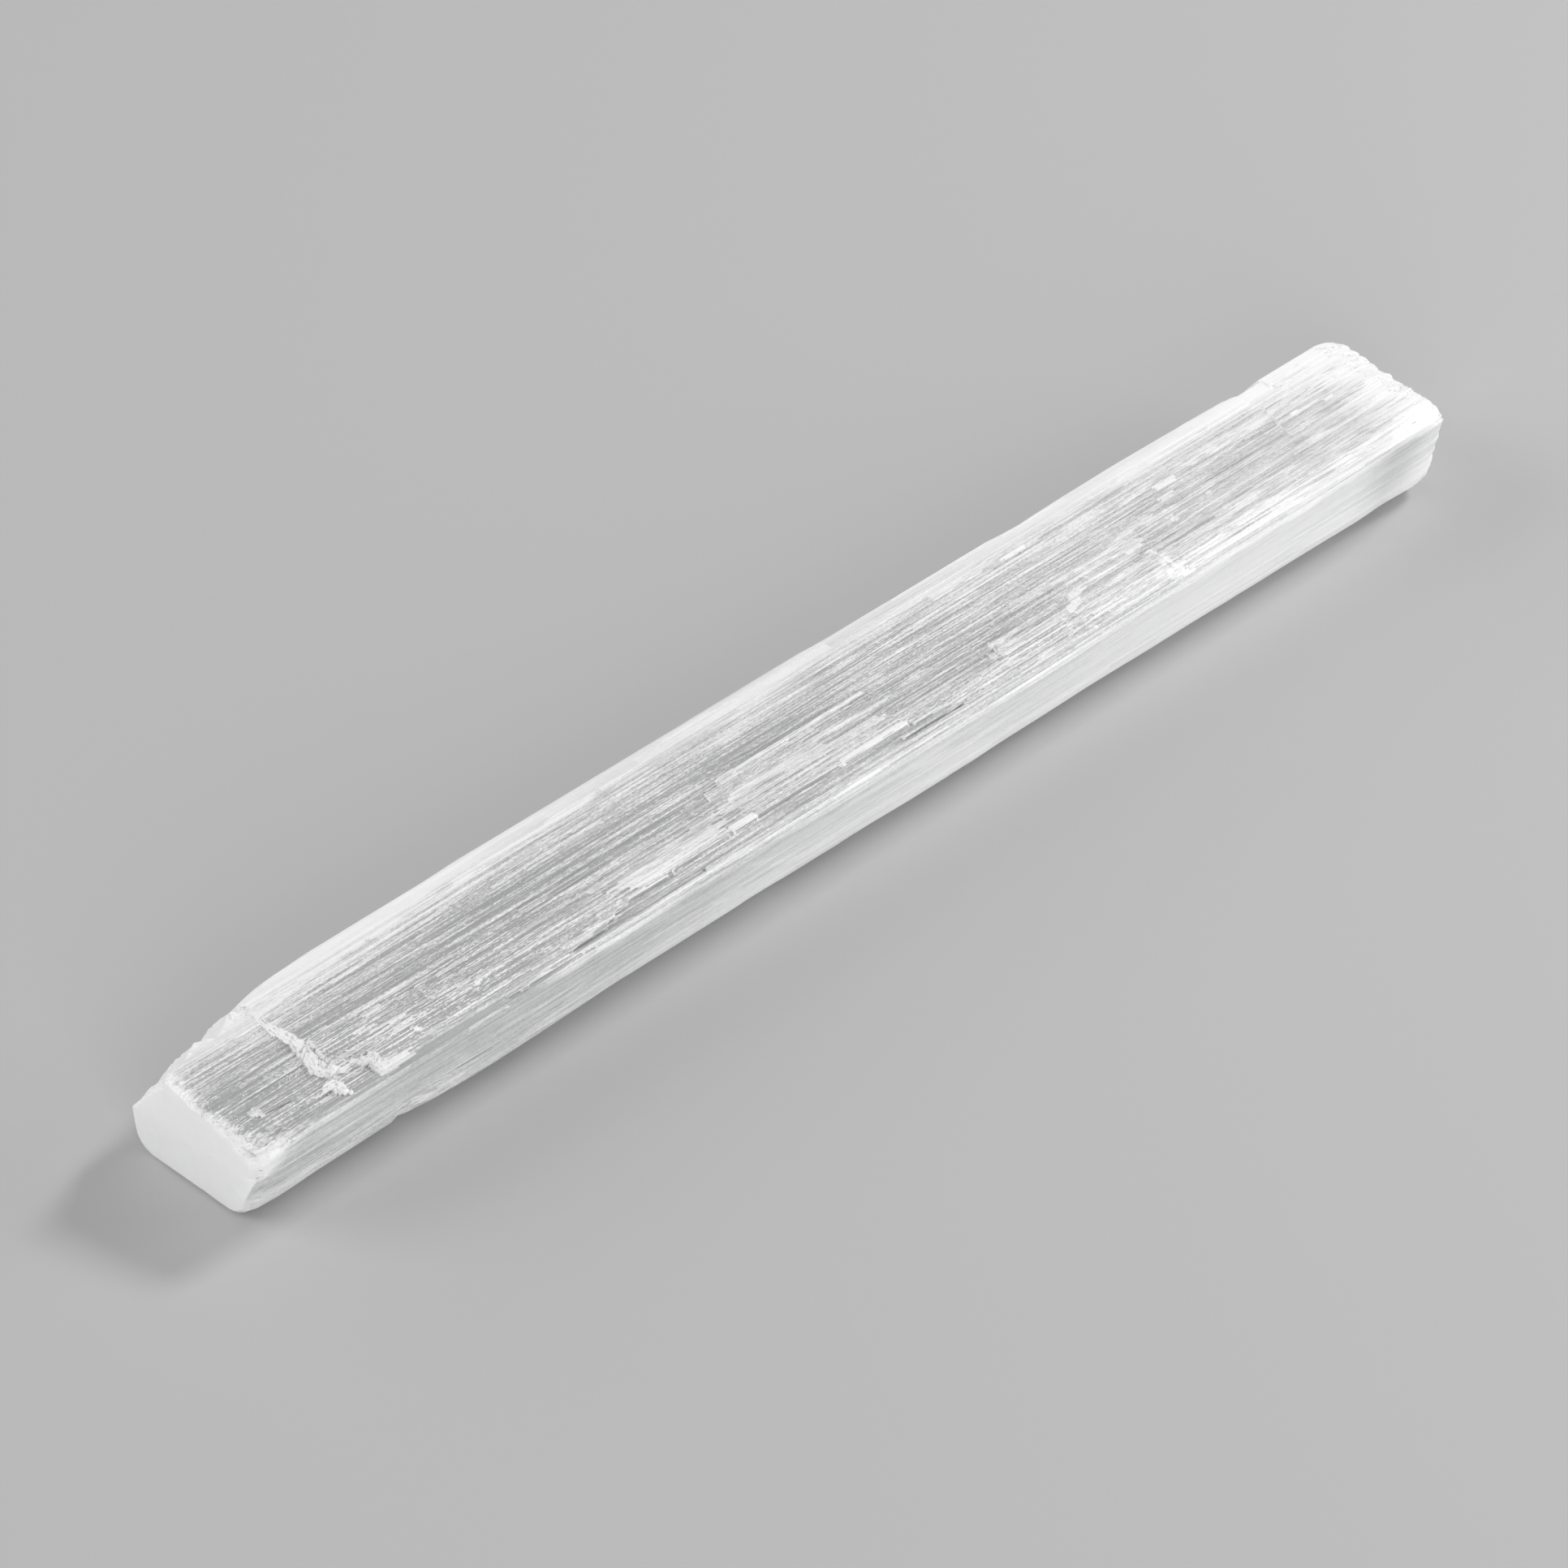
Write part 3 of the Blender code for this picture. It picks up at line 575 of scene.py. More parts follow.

# --- whiteness: milky where rubbed or split, greyer where one looks into the crystal, that grey partly painted shade --
# The grey across the middle of the top is partly the crystal's clearer tone and partly painted shade,
# standing in for the dark seen through it
ACROSS_TONES = (  # (y, whiteness) of the top
    (-12.5, 0.3), (-11.4, 0.29), (-10.5, 0.26), (-8.0, 0.3), (-4.0, 0.25), (1.0, 0.21), (3.5, 0.38),
    (5.5, 0.54), (7.5, 0.62), (9.0, 0.62),
)
FRONT_TONES = ((0.0, 0.8), (3.0, 0.62), (6.5, 0.42), (12.0, 0.38), (14.0, 0.44))  # (z, whiteness), front face
BACK_TONE, UNDER_TONE = 0.9, 0.5
# Whiter towards the far end: painted light from the key lamp beyond it, and past x 90 also the frosted break
ALONG_TONES = (  # (x, whiteness added)
    (-101.5, -0.02), (-60.0, -0.04), (-20.0, 0.0), (20.0, 0.1), (50.0, 0.26), (78.0, 0.34), (90.0, 0.4),
    (94.0, 0.6), (97.0, 0.9),
)
# On the front face, painted light: whiter towards the far end where the key lamp stands, then darker again
# close to the broken end
FRONT_ALONG = (  # (x, whiteness added) on the front face
    (-101.5, 0.06), (-91.0, 0.15), (-75.0, 0.1), (-30.0, 0.12), (-8.0, 0.3), (75.0, 0.34), (84.0, 0.16),
    (91.0, -0.35), (101.5, -0.5),
)
front_face = clamp(-1.6 * backward) * (upward < 0.5)
back_face = clamp(1.4 * backward)


def blended(top, front, back):
    """Each column's value, from what the top, the front face and the back have."""
    value = top * (1 - front_face) + front * front_face
    return value * (1 - back_face) + back * back_face


across = blended(read(ACROSS_TONES, side), read(FRONT_TONES, level), BACK_TONE)
across = np.where(upward < -0.7, UNDER_TONE, across)
white = white + across + read(ALONG_TONES, x) + read(FRONT_ALONG, x) * front_face

# Crushed and worn places are chalky, as whiteness added; on the lumpy worn slope part of it is painted light
RIM_CHALK, DIVE_CHALK, LUMP_CHALK_AND_LIGHT = 0.8, 0.6, 0.6
white += RIM_CHALK * smooth(1 - (x - NEAR) / (0.8 + 2.4 * crumble)) * clamp(2 * upward)
white += DIVE_CHALK * smooth(dive / 1.5)
# the lumpy slope faces away from the lamps, and is whitened further as painted light
white += LUMP_CHALK_AND_LIGHT * lumpy * clamp(4 * beyond)

# Zones of the top, as (whiteness added, edges in (y, over), edges in (x, over))
TONE_ZONES = (
    (0.35, ((5.0, 3.0),), ((-20.0, -40.0),)),  # the back, towards the sawn end
    # painted shade beside the back shoulder
    (-0.14, ((4.0, 1.2), (7.8, -1.5)), ((-25.0, 10.0), (81.5, -1.0))),  # beside the back shoulder
    (0.12, ((-2.0, -2.0), (-11.2, 1.0)), ((-44.0, 8.0), (78.0, -6.0))),  # the front half
)
for added, side_edges, end_edges in TONE_ZONES:
    for edge in side_edges:
        added = added * ease(y, *edge)
    for edge in end_edges:
        added = added * ramp(x, *edge)
    white += added

# Soft patches of the split top, as (x, y, half length, half width, whiteness added)
SOFT_PATCHES = ((-80.0, 3.6, 22.0, 3.2, 0.18), (-9.0, 1.4, 20.0, 2.2, -0.2), (-95.0, -5.0, 9.0, 3.6, -0.17))
for mid_x, mid_y, half_x, half_y, added in SOFT_PATCHES:
    white += added * smooth(1.4 * (1 - np.hypot((x - mid_x) / half_x, (y - mid_y) / half_y))) * (upward > 0.5)

# The front ridge, as (x, whiteness added): its bevel, and the edge itself. Partly painted light and shade:
# the bevel is lightened beside the shaded trough, and the edge darkened where the key lamp's highlight falls.
RIDGE_TONES = (
    (-92.0, 0.0), (-82.0, -0.18), (-60.0, -0.2), (-54.0, 0.25), (-46.0, 0.35), (-38.0, 0.2), (-16.0, 0.22),
    (0.0, 0.2), (14.0, 0.06), (50.0, -0.1), (80.0, -0.2),
)
EDGE_TONES = (
    (-98.0, -0.1), (-80.0, -0.1), (-74.0, 0.0), (-56.0, 0.0), (-50.0, -0.25), (2.0, -0.25), (20.0, -0.18),
    (60.0, -0.12), (80.0, -0.04),
)
above_face = ease(z, 12.0, 1.0)
white += read(RIDGE_TONES, x) * ease(y, -10.8, -0.8) * above_face
white += read(EDGE_TONES, x) * ease(y, -11.6, -0.4) * above_face

# Pale scuffs on the front face, and darker bands where the whiteness added is below zero, as (x, z, x, z,
# half width, whiteness added)
FRONT_MARKS = (
    (-78.6, 4.6, -76.4, 1.4, 0.5, 0.4), (-71.0, 9.4, -68.4, 6.6, 0.35, 0.2),
    (-94.0, 3.0, -84.0, 2.4, 0.7, 0.14), (-25.0, 11.6, -20.0, 9.6, 0.3, 0.3),
    (-19.0, 7.6, -12.0, 4.6, 0.4, 0.3), (-8.0, 11.6, 8.0, 10.8, 0.6, 0.3), (2.0, 10.6, 14.0, 7.2, 0.9, 0.45),
    (11.0, 6.6, 18.0, 5.0, 0.6, 0.3), (22.0, 4.0, 40.0, 4.4, 0.4, 0.2), (-101.0, 7.0, -92.0, 7.0, 3.0, -0.14),
    (-60.0, 12.4, 0.0, 12.2, 0.25, -0.25), (-56.0, 8.2, -20.0, 8.6, 0.2, -0.1),
)
mark_edge = 1 + 0.5 * lattice_noise(places, (1.2, 0.5, 0.5), 71)
for x0, z0, x1, z1, half_width, added in FRONT_MARKS:
    along = clamp(((x - x0) * (x1 - x0) + (z - z0) * (z1 - z0)) / ((x1 - x0) ** 2 + (z1 - z0) ** 2))
    away = np.hypot(x - x0 - along * (x1 - x0), z - z0 - along * (z1 - z0)) * mark_edge
    white += added * smooth(1.3 - away / half_width) * front_face

# How plainly the fibres show, from none on rubbed and sawn faces to plainly on the split top
ACROSS_FIBRES = ((-12.5, 0.45), (-10.8, 0.6), (-9.5, 1.0), (4.5, 1.0), (7.0, 0.5), (9.0, 0.15))
FRONT_FIBRES, BACK_FIBRES = 0.42, 0.12
ALONG_FIBRES = (
    (-101.5, 0.4), (-100.0, 1.0), (0.0, 1.0), (15.0, 1.15), (34.0, 1.0), (55.0, 0.7), (80.0, 0.52),
    (91.0, 0.28), (97.0, 0.12), (101.5, 0.05),
)
PLATE_HIDES, LUMPS_HIDE, RUBBED_HIDES = 0.5, 0.6, 0.6  # share of the fibres that each kind of place hides
SPLIT_MOST = (-73.0, 17.0, -6.0, 3.4, 1.4)  # where the fibres are split up most: (x, reach, y, reach, more)
fibres = blended(read(ACROSS_FIBRES, side), FRONT_FIBRES, BACK_FIBRES)
fibres = fibres * read(ALONG_FIBRES, x) * (1 - PLATE_HIDES * plated)
fibres *= 1 - LUMPS_HIDE * lumpy * clamp(2 * beyond)
fibres *= 1 - RUBBED_HIDES * ease(y, 3.0, 2.5) * ramp(x, -84.0, -3.0)
mid_x, reach_x, mid_y, reach_y, more = SPLIT_MOST
fibres *= 1 + more * smooth(1.6 - np.abs(x - mid_x) / reach_x) * smooth(1.6 - np.abs(y - mid_y) / reach_y)


# --- close the ends and build the mesh
columns_count = len(x)
grid = np.stack([x, y, z], -1).transpose(1, 0, 2)  # (stations, columns, 3)


def end_rings(rim_points, shares, depth_of):
    """Rings that close an end, drawn in towards the heart in even order round it."""
    spokes = rim_points[:, 1:] - HEART
    order = np.argsort(-np.unwrap(np.arctan2(spokes[:, 1], spokes[:, 0])), kind="stable")
    spokes = evened(spokes[order], 3)
    rings = []
    for share in shares:
        ring = rim_points.copy()
        ring[:, 1:] = HEART + spokes * share
        ring[:, 0] = depth_of(ring, share)
        rings.append(ring)
    return rings


FLAT_SHARE = 0.86  # inside this share of its outline the sawn face is flat
RIPPLE, RIPPLE_SIZE = 0.03, (9.0, 1.1, 0.5)
SAWN_IN, BREAK_IN = 0.04, 0.2  # how far in from the solid's ends the two faces start
BREAK_DEPTH, HOLLOWS, BUNDLES = 0.6, 0.8, 0.35  # how deep the broken face lies, and its relief
BREAK_RIM = 0.3  # share of the outline over which the broken face sinks to that depth


def sawn_face(ring, share):
    """The sawn face: flat but for faint saw ripples, and rounded off at the front corner."""
    ripples = RIPPLE * lattice_noise(ring, RIPPLE_SIZE, 61) + SAWN_IN
    corner = near_corner[:, 0] * ramp(share, FLAT_SHARE, 1 - FLAT_SHARE) ** 2
    return NEAR + ripples + corner + undercut(ring[:, 2])


def broken_face(ring, share):
    """The broken face: hollows and steps where bundles of fibres pulled apart."""
    hollows = HOLLOWS * lattice_noise(ring * (0, 1, 1), (1, 4.2, 3.0), 62)
    bundles = BUNDLES * lattice_noise(ring * (0, 1, 1), (1, 1.5, 1.2), 63)
    sunk = smooth((1 - share) / BREAK_RIM) * (BREAK_DEPTH + hollows + bundles)
    slant = END_SLANT * ramp(ring[:, 1], *END_SLANT_SIDE)
    return FAR - BREAK_IN - slant - sunk - corners[:, 0] * share**3


def inside_box(points):
    """Points pushed into the solid's box."""
    return np.clip(points, (NEAR + CLEAR, FRONT + CLEAR, 0.0), (FAR - CLEAR, BACK - CLEAR, TOP - CLEAR))


NEAR_SHARES = (0.985, 0.96, 0.94, 0.9, 0.86, 0.75, 0.6, 0.45, 0.3, 0.15)
FAR_SHARES = (0.975, *np.linspace(0.94, 0.06, 17))
grid[0, :, 0] = sawn_face(grid[0], 1.0)
near_rings = end_rings(grid[0], NEAR_SHARES, sawn_face)[::-1]
far_rings = end_rings(grid[-1], FAR_SHARES, broken_face)
rings = near_rings + list(grid) + far_rings
tips = [near_rings[0].mean(0)[None], far_rings[-1].mean(0)[None]]
vertices = inside_box(np.vstack(rings + tips))


def skin_faces(ring_count):
    """Quads between neighbouring rings, then a fan of triangles on each end."""
    first = np.arange(ring_count - 1)[:, None] * columns_count
    here = np.arange(columns_count)[None]
    after = (here + 1) % columns_count
    beyond = first + columns_count
    quads = np.stack([first + here, beyond + here, beyond + after, first + after], -1)
    faces = quads.reshape(-1, 4).tolist()
    near_tip = ring_count * columns_count
    far_tip = near_tip + 1
    last = (ring_count - 1) * columns_count
    faces += [(near_tip, k, (k + 1) % columns_count) for k in range(columns_count)]
    faces += [(far_tip, last + (k + 1) % columns_count, last + k) for k in range(columns_count)]
    return faces


def on_faces(values):
    """Means of (columns, stations) values over the grid's quads, as (stations - 1, columns)."""
    pairs = (values + np.roll(values, -1, axis=0)) / 2
    return ((pairs[:, 1:] + pairs[:, :-1]) / 2).T


SAWN_WHITE, BROKEN_WHITE, BROKEN_FIBRES = 0.85, 0.95, 0.25
# Painted light and shade at the steps: a snapped end is whiter, partly chalky and partly painted light coming
# out through it; the lower strand's side beside a higher one is darker, painted shade
WALL_WHITE_AND_GLOW, SEAM_SHADE = 0.6, 0.45  # how much whiter a snapped end is, and how much darker a strand's side
WALL_HIDES = 0.7  # share of the fibres that a snapped end hides
FULL_SNAP, FULL_STEP = 0.3, 0.22  # heights at which the two have their full tone
ends_of_laths = smooth(np.maximum(jump_along, np.roll(jump_along, -1, axis=0)).T / FULL_SNAP)
steps_between = smooth(jump_across / FULL_STEP)
steps_between[np.roll(column_strand, -1) == column_strand] = 0.0
face_white = on_faces(white) + WALL_WHITE_AND_GLOW * ends_of_laths
# painted shade along the foot of each step between strands
face_white -= SEAM_SHADE * (1 - ends_of_laths) * (steps_between[:, 1:] + steps_between[:, :-1]).T / 2
face_fibres = on_faces(fibres) * (1 - WALL_HIDES * ends_of_laths)
near_count, far_count = len(near_rings) * columns_count, len(far_rings) * columns_count


def with_ends(middle, near, far):
    """Values for every face in the order of skin_faces."""
    parts = (np.full(near_count, near), middle.ravel(), np.full(far_count, far))
    return np.concatenate(parts + (np.full(columns_count, near), np.full(columns_count, far)))


faces = skin_faces(len(rings))
whiteness = with_ends(face_white, SAWN_WHITE, BROKEN_WHITE)
fibre = with_ends(face_fibres, 0.0, BROKEN_FIBRES)
CREASE = math.radians(35)  # faces that meet at more than this show a sharp edge
scene = bpy.context.scene


def piece(name, vertices, faces, material, whiteness, fibre):
    """A mesh in millimetres as a scene object, riding on the bar's only body."""
    mesh = bpy.data.meshes.new(name)
    mesh.from_pydata((vertices * MM).tolist(), [], faces)
    mesh.update()
    for label, values in (("whiteness", whiteness), ("fibre", fibre)):
        attribute = mesh.attributes.new(label, "FLOAT", "FACE")
        attribute.data.foreach_set("value", np.broadcast_to(values, len(faces)).astype(np.float32))
    mesh.materials.append(material)
    mesh.shade_smooth()
    mesh.set_sharp_from_angle(angle=CREASE)
    thing = bpy.data.objects.new(name, mesh)
    scene.collection.objects.link(thing)
    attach(thing, "root")
    return thing


def satin_spar():
    """Milky and silky: fine streaks along the fibres in tone, gloss and relief, partly see-through."""
    material = bpy.data.materials.new("satin_spar")
    material.use_nodes = True
    nodes, links = material.node_tree.nodes, material.node_tree.links
    shader = nodes["Principled BSDF"]
    where = nodes.new("ShaderNodeTexCoord")

    def streaks(along, across, detail):
        mapping = nodes.new("ShaderNodeMapping")
        mapping.inputs["Scale"].default_value = (1 / (along * MM), 1 / (across * MM), 1 / (across * MM))
        links.new(where.outputs["Object"], mapping.inputs["Vector"])
        noise = nodes.new("ShaderNodeTexNoise")
        noise.inputs["Scale"].default_value = 1.0
        noise.inputs["Detail"].default_value = detail
        noise.inputs["Roughness"].default_value = 0.6
        links.new(mapping.outputs["Vector"], noise.inputs["Vector"])
        return noise.outputs["Fac"]

    def math_node(operation, *values):
        node = nodes.new("ShaderNodeMath")
        node.operation = operation
        for socket, value in zip(node.inputs, values):
            if isinstance(value, (int, float)):
                socket.default_value = value
            else:
                links.new(value, socket)
        return node.outputs[0]

    def attribute(name):
        node = nodes.new("ShaderNodeAttribute")
        node.attribute_name = name
        return node.outputs["Fac"]

    def between(value, low, high, to_low, to_high, way="SMOOTHSTEP"):
        node = nodes.new("ShaderNodeMapRange")
        node.interpolation_type = way
        links.new(value, node.inputs["Value"])
        for name, limit in (("From Min", low), ("From Max", high), ("To Min", to_low), ("To Max", to_high)):
            node.inputs[name].default_value = limit
        return node.outputs["Result"]

    fine = math_node("MULTIPLY_ADD", streaks(16.0, 0.25, 3.0), 2.9, -1.45)
    broad = math_node("MULTIPLY_ADD", streaks(34.0, 0.7, 2.0), 0.6, -0.3)
    grains = math_node("MULTIPLY_ADD", streaks(0.5, 0.17, 2.0), 2.0, -1.0)
    dark_lines = between(streaks(36.0, 0.28, 1.0), 0.60, 0.66, 0.0, -0.5)
    white_lines = between(streaks(10.0, 0.26, 1.0), 0.62, 0.68, 0.0, 0.5)
    specks = between(streaks(0.35, 0.22, 0.0), 0.73, 0.8, 0.0, 0.7)
    lines = math_node("ADD", math_node("ADD", dark_lines, white_lines), specks)
    lines = math_node("ADD", math_node("ADD", fine, broad), math_node("ADD", grains, lines))
    lines = math_node("MULTIPLY", lines, attribute("fibre"))
    clouds = math_node("MULTIPLY_ADD", streaks(3.0, 1.6, 3.0), 0.16, -0.08)
    tone = math_node("ADD", math_node("ADD", attribute("whiteness"), lines), clouds)
    colours = nodes.new("ShaderNodeValToRGB")
    colours.color_ramp.elements[0].color = (0.50, 0.505, 0.505, 1)
    colours.color_ramp.elements[1].color = (0.97, 0.972, 0.97, 1)
    colours.color_ramp.elements.new(0.5).color = (0.78, 0.785, 0.78, 1)
    links.new(tone, colours.inputs["Fac"])
    links.new(colours.outputs["Color"], shader.inputs["Base Color"])
    links.new(between(tone, 0.0, 1.0, 0.30, 0.55, "LINEAR"), shader.inputs["Roughness"])
    links.new(between(tone, 0.0, 1.0, 0.2, 0.0, "LINEAR"), shader.inputs["Transmission Weight"])
    bump = nodes.new("ShaderNodeBump")
    bump.inputs["Strength"].default_value = 0.5
    bump.inputs["Distance"].default_value = 0.04 * MM
    links.new(streaks(9.0, 0.13, 3.0), bump.inputs["Height"])
    links.new(bump.outputs["Normal"], shader.inputs["Normal"])
    shader.inputs["IOR"].default_value = 1.52
    shader.inputs["Subsurface Weight"].default_value = 0.5
    shader.inputs["Subsurface Radius"].default_value = (1.0, 1.0, 1.0)
    shader.inputs["Subsurface Scale"].default_value = 1.5 * MM
    return material


spar = satin_spar()
skin = piece("blade_skin", vertices, faces, spar, whiteness, fibre)
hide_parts("selenite_blade")

# --------------------------------------------------------
# The crumbs. Crushed fibre ends cling where the crystal snapped and was sawn: along the ledges, round the
# rims and in the split top, with single bright grains all over the fibres.
# --------------------------------------------------------
skin_tree = BVHTree.FromPolygons(vertices.tolist(), faces)
CRUMB_PLACES = (  # (x from, x to, y from, y to, how many, smallest, largest)
    (-92.4, -88.4, -4.4, -3.5, 90, 0.08, 0.24), (-98, -96.5, -6.6, -5.2, 60, 0.1, 0.3),
    (-96.4, -96.2, 4, 4.2, 4, 0.3, 0.4), (-101.2, -99.9, -0.8, 0.2, 40, 0.15, 0.36),
    (-87.6, -83.6, -7.6, -5.8, 150, 0.1, 0.3), (-83.8, -81.6, -7.6, -6.4, 40, 0.1, 0.26),
    (-89.2, -87.4, -10.4, -8.4, 70, 0.1, 0.3), (-89.2, -86.6, 6.6, 8.6, 50, 0.12, 0.3),
    (-101.4, -100.2, -11, 8, 300, 0.06, 0.2), (-100.6, -98.6, -11.2, -4, 100, 0.06, 0.18),
    (-88.3, -86.4, -5.6, 6.6, 190, 0.06, 0.18), (-86.9, -84.6, -5.4, -1.4, 60, 0.08, 0.2),
    (-82.9, -81.3, -11.4, -4.6, 90, 0.06, 0.2), (-80, -62, -8.6, -2.8, 240, 0.05, 0.18),
    (-68.9, -67.8, 5, 7.2, 60, 0.07, 0.18), (-31, -30, 6.2, 8.2, 60, 0.07, 0.18),
    (23.9, 24.7, 5.7, 7.2, 50, 0.07, 0.16), (-24.5, -18.5, -9, -0.4, 160, 0.05, 0.18),
    (3, 6, -9.2, -0.4, 110, 0.05, 0.18), (20.6, 24.2, -7.6, -4.6, 200, 0.06, 0.22),
    (13.2, 16.6, -6.5, -5.6, 60, 0.06, 0.18), (34.4, 41, -7.4, -2.2, 260, 0.06, 0.22),
    (49.6, 52.6, -11, -2, 200, 0.06, 0.22), (56, 66, -3.6, 3.2, 200, 0.05, 0.18),
    (80.6, 91, -1.6, 7, 220, 0.05, 0.2), (97, 101.2, -11, 9, 500, 0.06, 0.24),
    (-95, 96, -10.4, 6.6, 5200, 0.05, 0.17),
)
CRUMB_RISE = 0.05  # how far a crumb's middle lies above the skin, as a share of its size
CRUMB_WHITE = 1.1
SHARD_POINTS = np.array([(1, 0, 0), (-1, 0, 0), (0, 1, 0), (0, -1, 0), (0, 0, 1), (0, 0, -1)]) / 2
SHARD_FACES = ((0, 2, 4), (2, 1, 4), (1, 3, 4), (3, 0, 4), (2, 0, 5), (1, 2, 5), (3, 1, 5), (0, 3, 5))
CRUMB_TILT = 0.6  # most that a crumb is turned about each axis, in radians


def skin_below(x, y):
    """The skin's point straight below (x, y), or None."""
    return skin_tree.ray_cast(Vector((x, y, THICKNESS * 2)), Vector((0, 0, -1)))[0]


def turned(points, tilt):
    """Points turned by small random angles about the three axes."""
    rx, ry, rz = rng.uniform(-tilt, tilt, 3)
    return points @ np.array(Euler((rx, ry, rz)).to_matrix()).T


def spots(places):
    """For each body, the skin's point under it (or None) and its least and greatest size."""
    for x0, x1, y0, y1, count, least, most in places:
        for _ in range(count):
            yield skin_below(rng.uniform(x0, x1), rng.uniform(y0, y1)), least, most


def joined(bodies, body_faces):
    """One vertex array and one face list from many bodies of the same build."""
    step = len(bodies[0])
    faces = [tuple(i * step + v for v in face) for i in range(len(bodies)) for face in body_faces]
    return inside_box(np.vstack(bodies)), faces


def crumbs():
    bodies = []
    for spot, least, most in spots(CRUMB_PLACES):
        size = least + (most - least) * rng.random() ** 2
        shape = SHARD_POINTS * size * (rng.uniform(1.2, 2.8), rng.uniform(0.7, 1.4), rng.uniform(0.6, 1.2))
        shape = shape * rng.uniform(0.6, 1.3, (6, 1)) + rng.uniform(-0.15, 0.15, (6, 3)) * size
        shape = turned(shape, CRUMB_TILT)
        if spot is not None:
            bodies.append(shape + np.array(spot) + (0, 0, size * CRUMB_RISE))
    return joined(bodies, SHARD_FACES)


piece("blade_crumbs", *crumbs(), spar, CRUMB_WHITE, 0.0)

# --------------------------------------------------------
# The splinters. Thin fibres and laths of the same crystal that have split off the top. They still lie on
# it, along the blade, sunk into it a little.
# --------------------------------------------------------
SPLINTER_PLACES = (  # (x from, x to, y from, y to, how many, shortest, longest)
    (-98, -88, -9.5, 5, 60, 0.8, 3), (-81, -62, -7, -2.8, 90, 1, 5),
    (-62, -25, -6.6, -4.2, 90, 1.5, 7), (-64, -40, -11.4, -9, 70, 1.5, 6),
    (-34, 30, -10.8, -8.8, 90, 1, 5), (-24, 6, -5.6, -0.4, 90, 1, 6),
    (6, 36, -7.8, -3.4, 80, 1, 5), (34, 52, -11, -1.6, 90, 1, 5),
    (52, 92, -9, 5, 220, 1, 6), (-86, 96, -10.8, 7.4, 620, 1, 7),
)
SPLINTER_SIZE = (0.05, 0.13)  # thinnest and thickest
TAPER = ((-0.5, 0.3), (-0.2, 1.0), (0.25, 0.9), (0.5, 0.2))  # (share of the length, share of the thickness)
SPLINTER_YAW, SPLINTER_LIFT = 0.02, 0.012  # most that a splinter turns aside and lifts, in radians
SPLINTER_RISE = 0.2  # how far a splinter's middle lies above the skin, as a share of its thickness
SPLINTER_WHITE, SPLINTER_FIBRES = 0.8, 0.2
RING = np.array([(-1, -0.6), (1, -0.6), (0.7, 0.6), (-0.7, 0.6)]) / 2


def splinter_faces():
    last = (len(TAPER) - 1) * 4
    pairs = [(a, a - 3 if a % 4 == 3 else a + 1) for a in range(last)]
    walls = [(a, b, b + 4, a + 4) for a, b in pairs]
    return [(0, 3, 2, 1), *walls, (last, last + 1, last + 2, last + 3)]


def splinters():
    bodies = []
    for spot, least, most in spots(SPLINTER_PLACES):
        length = least + (most - least) * rng.random() ** 1.6
        size = rng.uniform(*SPLINTER_SIZE)
        rings = [np.column_stack([np.full(4, at * length), RING * size * share]) for at, share in TAPER]
        yaw, lift = rng.uniform(-SPLINTER_YAW, SPLINTER_YAW), rng.uniform(0, SPLINTER_LIFT)
        shape = np.vstack(rings) @ np.array(Euler((0, -lift, yaw)).to_matrix()).T
        if spot is not None:
            bodies.append(shape + np.array(spot) + (0, 0, size * SPLINTER_RISE))
    return joined(bodies, splinter_faces())


piece("blade_splinters", *splinters(), spar, SPLINTER_WHITE, SPLINTER_FIBRES)

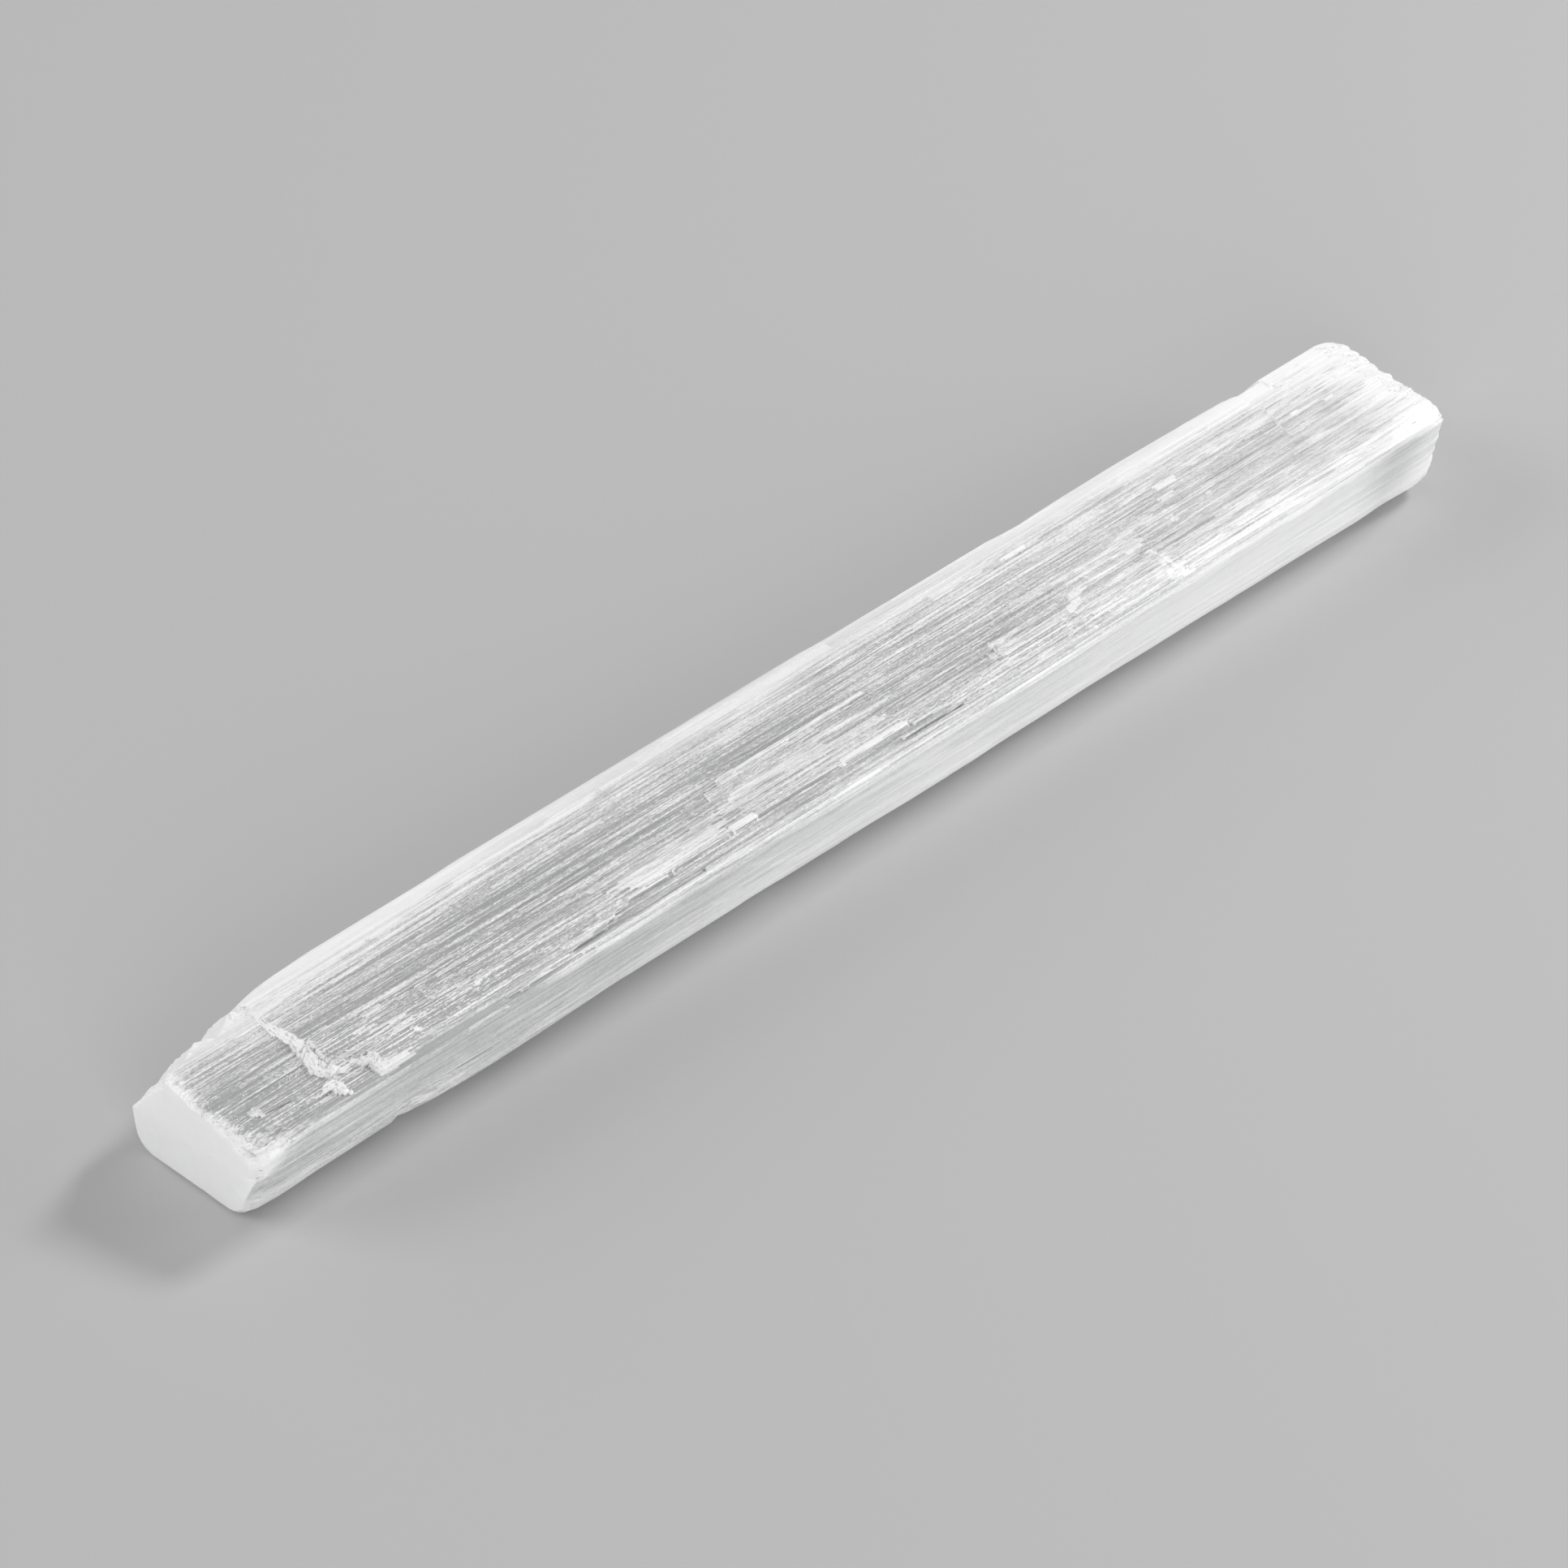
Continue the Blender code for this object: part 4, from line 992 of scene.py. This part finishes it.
# --------------------------------------------------------
# Where it lies: a plain pale table, soft studio light from beyond the far end, and the camera.
# --------------------------------------------------------
TABLE, TABLE_GAP = 4.0, 0.00002  # metres across, and metres below the blade
paper = bpy.data.materials.new("pale_paper")
paper.use_nodes = True
shader = paper.node_tree.nodes["Principled BSDF"]
shader.inputs["Base Color"].default_value = (0.5, 0.5, 0.505, 1)
shader.inputs["Roughness"].default_value = 0.8
shader.inputs["Specular IOR Level"].default_value = 0.2
table_mesh = bpy.data.meshes.new("table")
half = TABLE / 2
table_points = [(-half, -half, 0), (half, -half, 0), (half, half, 0), (-half, half, 0)]
table_mesh.from_pydata(table_points, [], [(0, 1, 2, 3)])
table_mesh.materials.append(paper)
table = bpy.data.objects.new("table", table_mesh)
table.location.z = -TABLE_GAP
scene.collection.objects.link(table)

AIM = Vector((-0.609, 6.802, 0.0)) * MM
CAMERA_PLACE, LENS = (-134.706, 38.5, 0.950), 178.9  # (azimuth, elevation, metres away), and millimetres


def place(thing, azimuth, elevation, distance):
    """Put a lamp or the camera there, facing the blade; azimuth 0 is +X and 90 is +Y."""
    a, e = math.radians(azimuth), math.radians(elevation)
    way = Vector((math.cos(a) * math.cos(e), math.sin(a) * math.cos(e), math.sin(e)))
    thing.location = AIM + way * distance
    thing.rotation_euler = way.to_track_quat("Z", "Y").to_euler()
    scene.collection.objects.link(thing)


SOFT_BOXES = (  # (name, azimuth, elevation, distance, size, power)
    ("key_light", -12, 43, 1.3, 0.28, 7.7),
    ("back_fill", 95, 12, 1.4, 0.9, 3.45),
    ("front_fill", 232, 16, 1.4, 0.9, 9.6),
    ("left_fill", 140, 32, 1.4, 0.9, 6.6),
    ("far_fill", -42, 20, 0.62, 0.4, 1.0),
)
for name, azimuth, elevation, distance, size, power in SOFT_BOXES:
    lamp = bpy.data.lights.new(name, "AREA")
    lamp.size = size
    lamp.energy = power
    place(bpy.data.objects.new(name, lamp), azimuth, elevation, distance)
world = bpy.data.worlds.new("studio")
scene.world = world
world.use_nodes = True
background = world.node_tree.nodes["Background"]
background.inputs["Color"].default_value = (1, 1, 1, 1)
background.inputs["Strength"].default_value = 0.3

camera = bpy.data.objects.new("camera", bpy.data.cameras.new("camera"))
camera.data.lens = LENS
camera.data.sensor_width = 36.0
camera.data.clip_start = 0.01
place(camera, *CAMERA_PLACE)
scene.camera = camera
scene.view_settings.view_transform = "Standard"
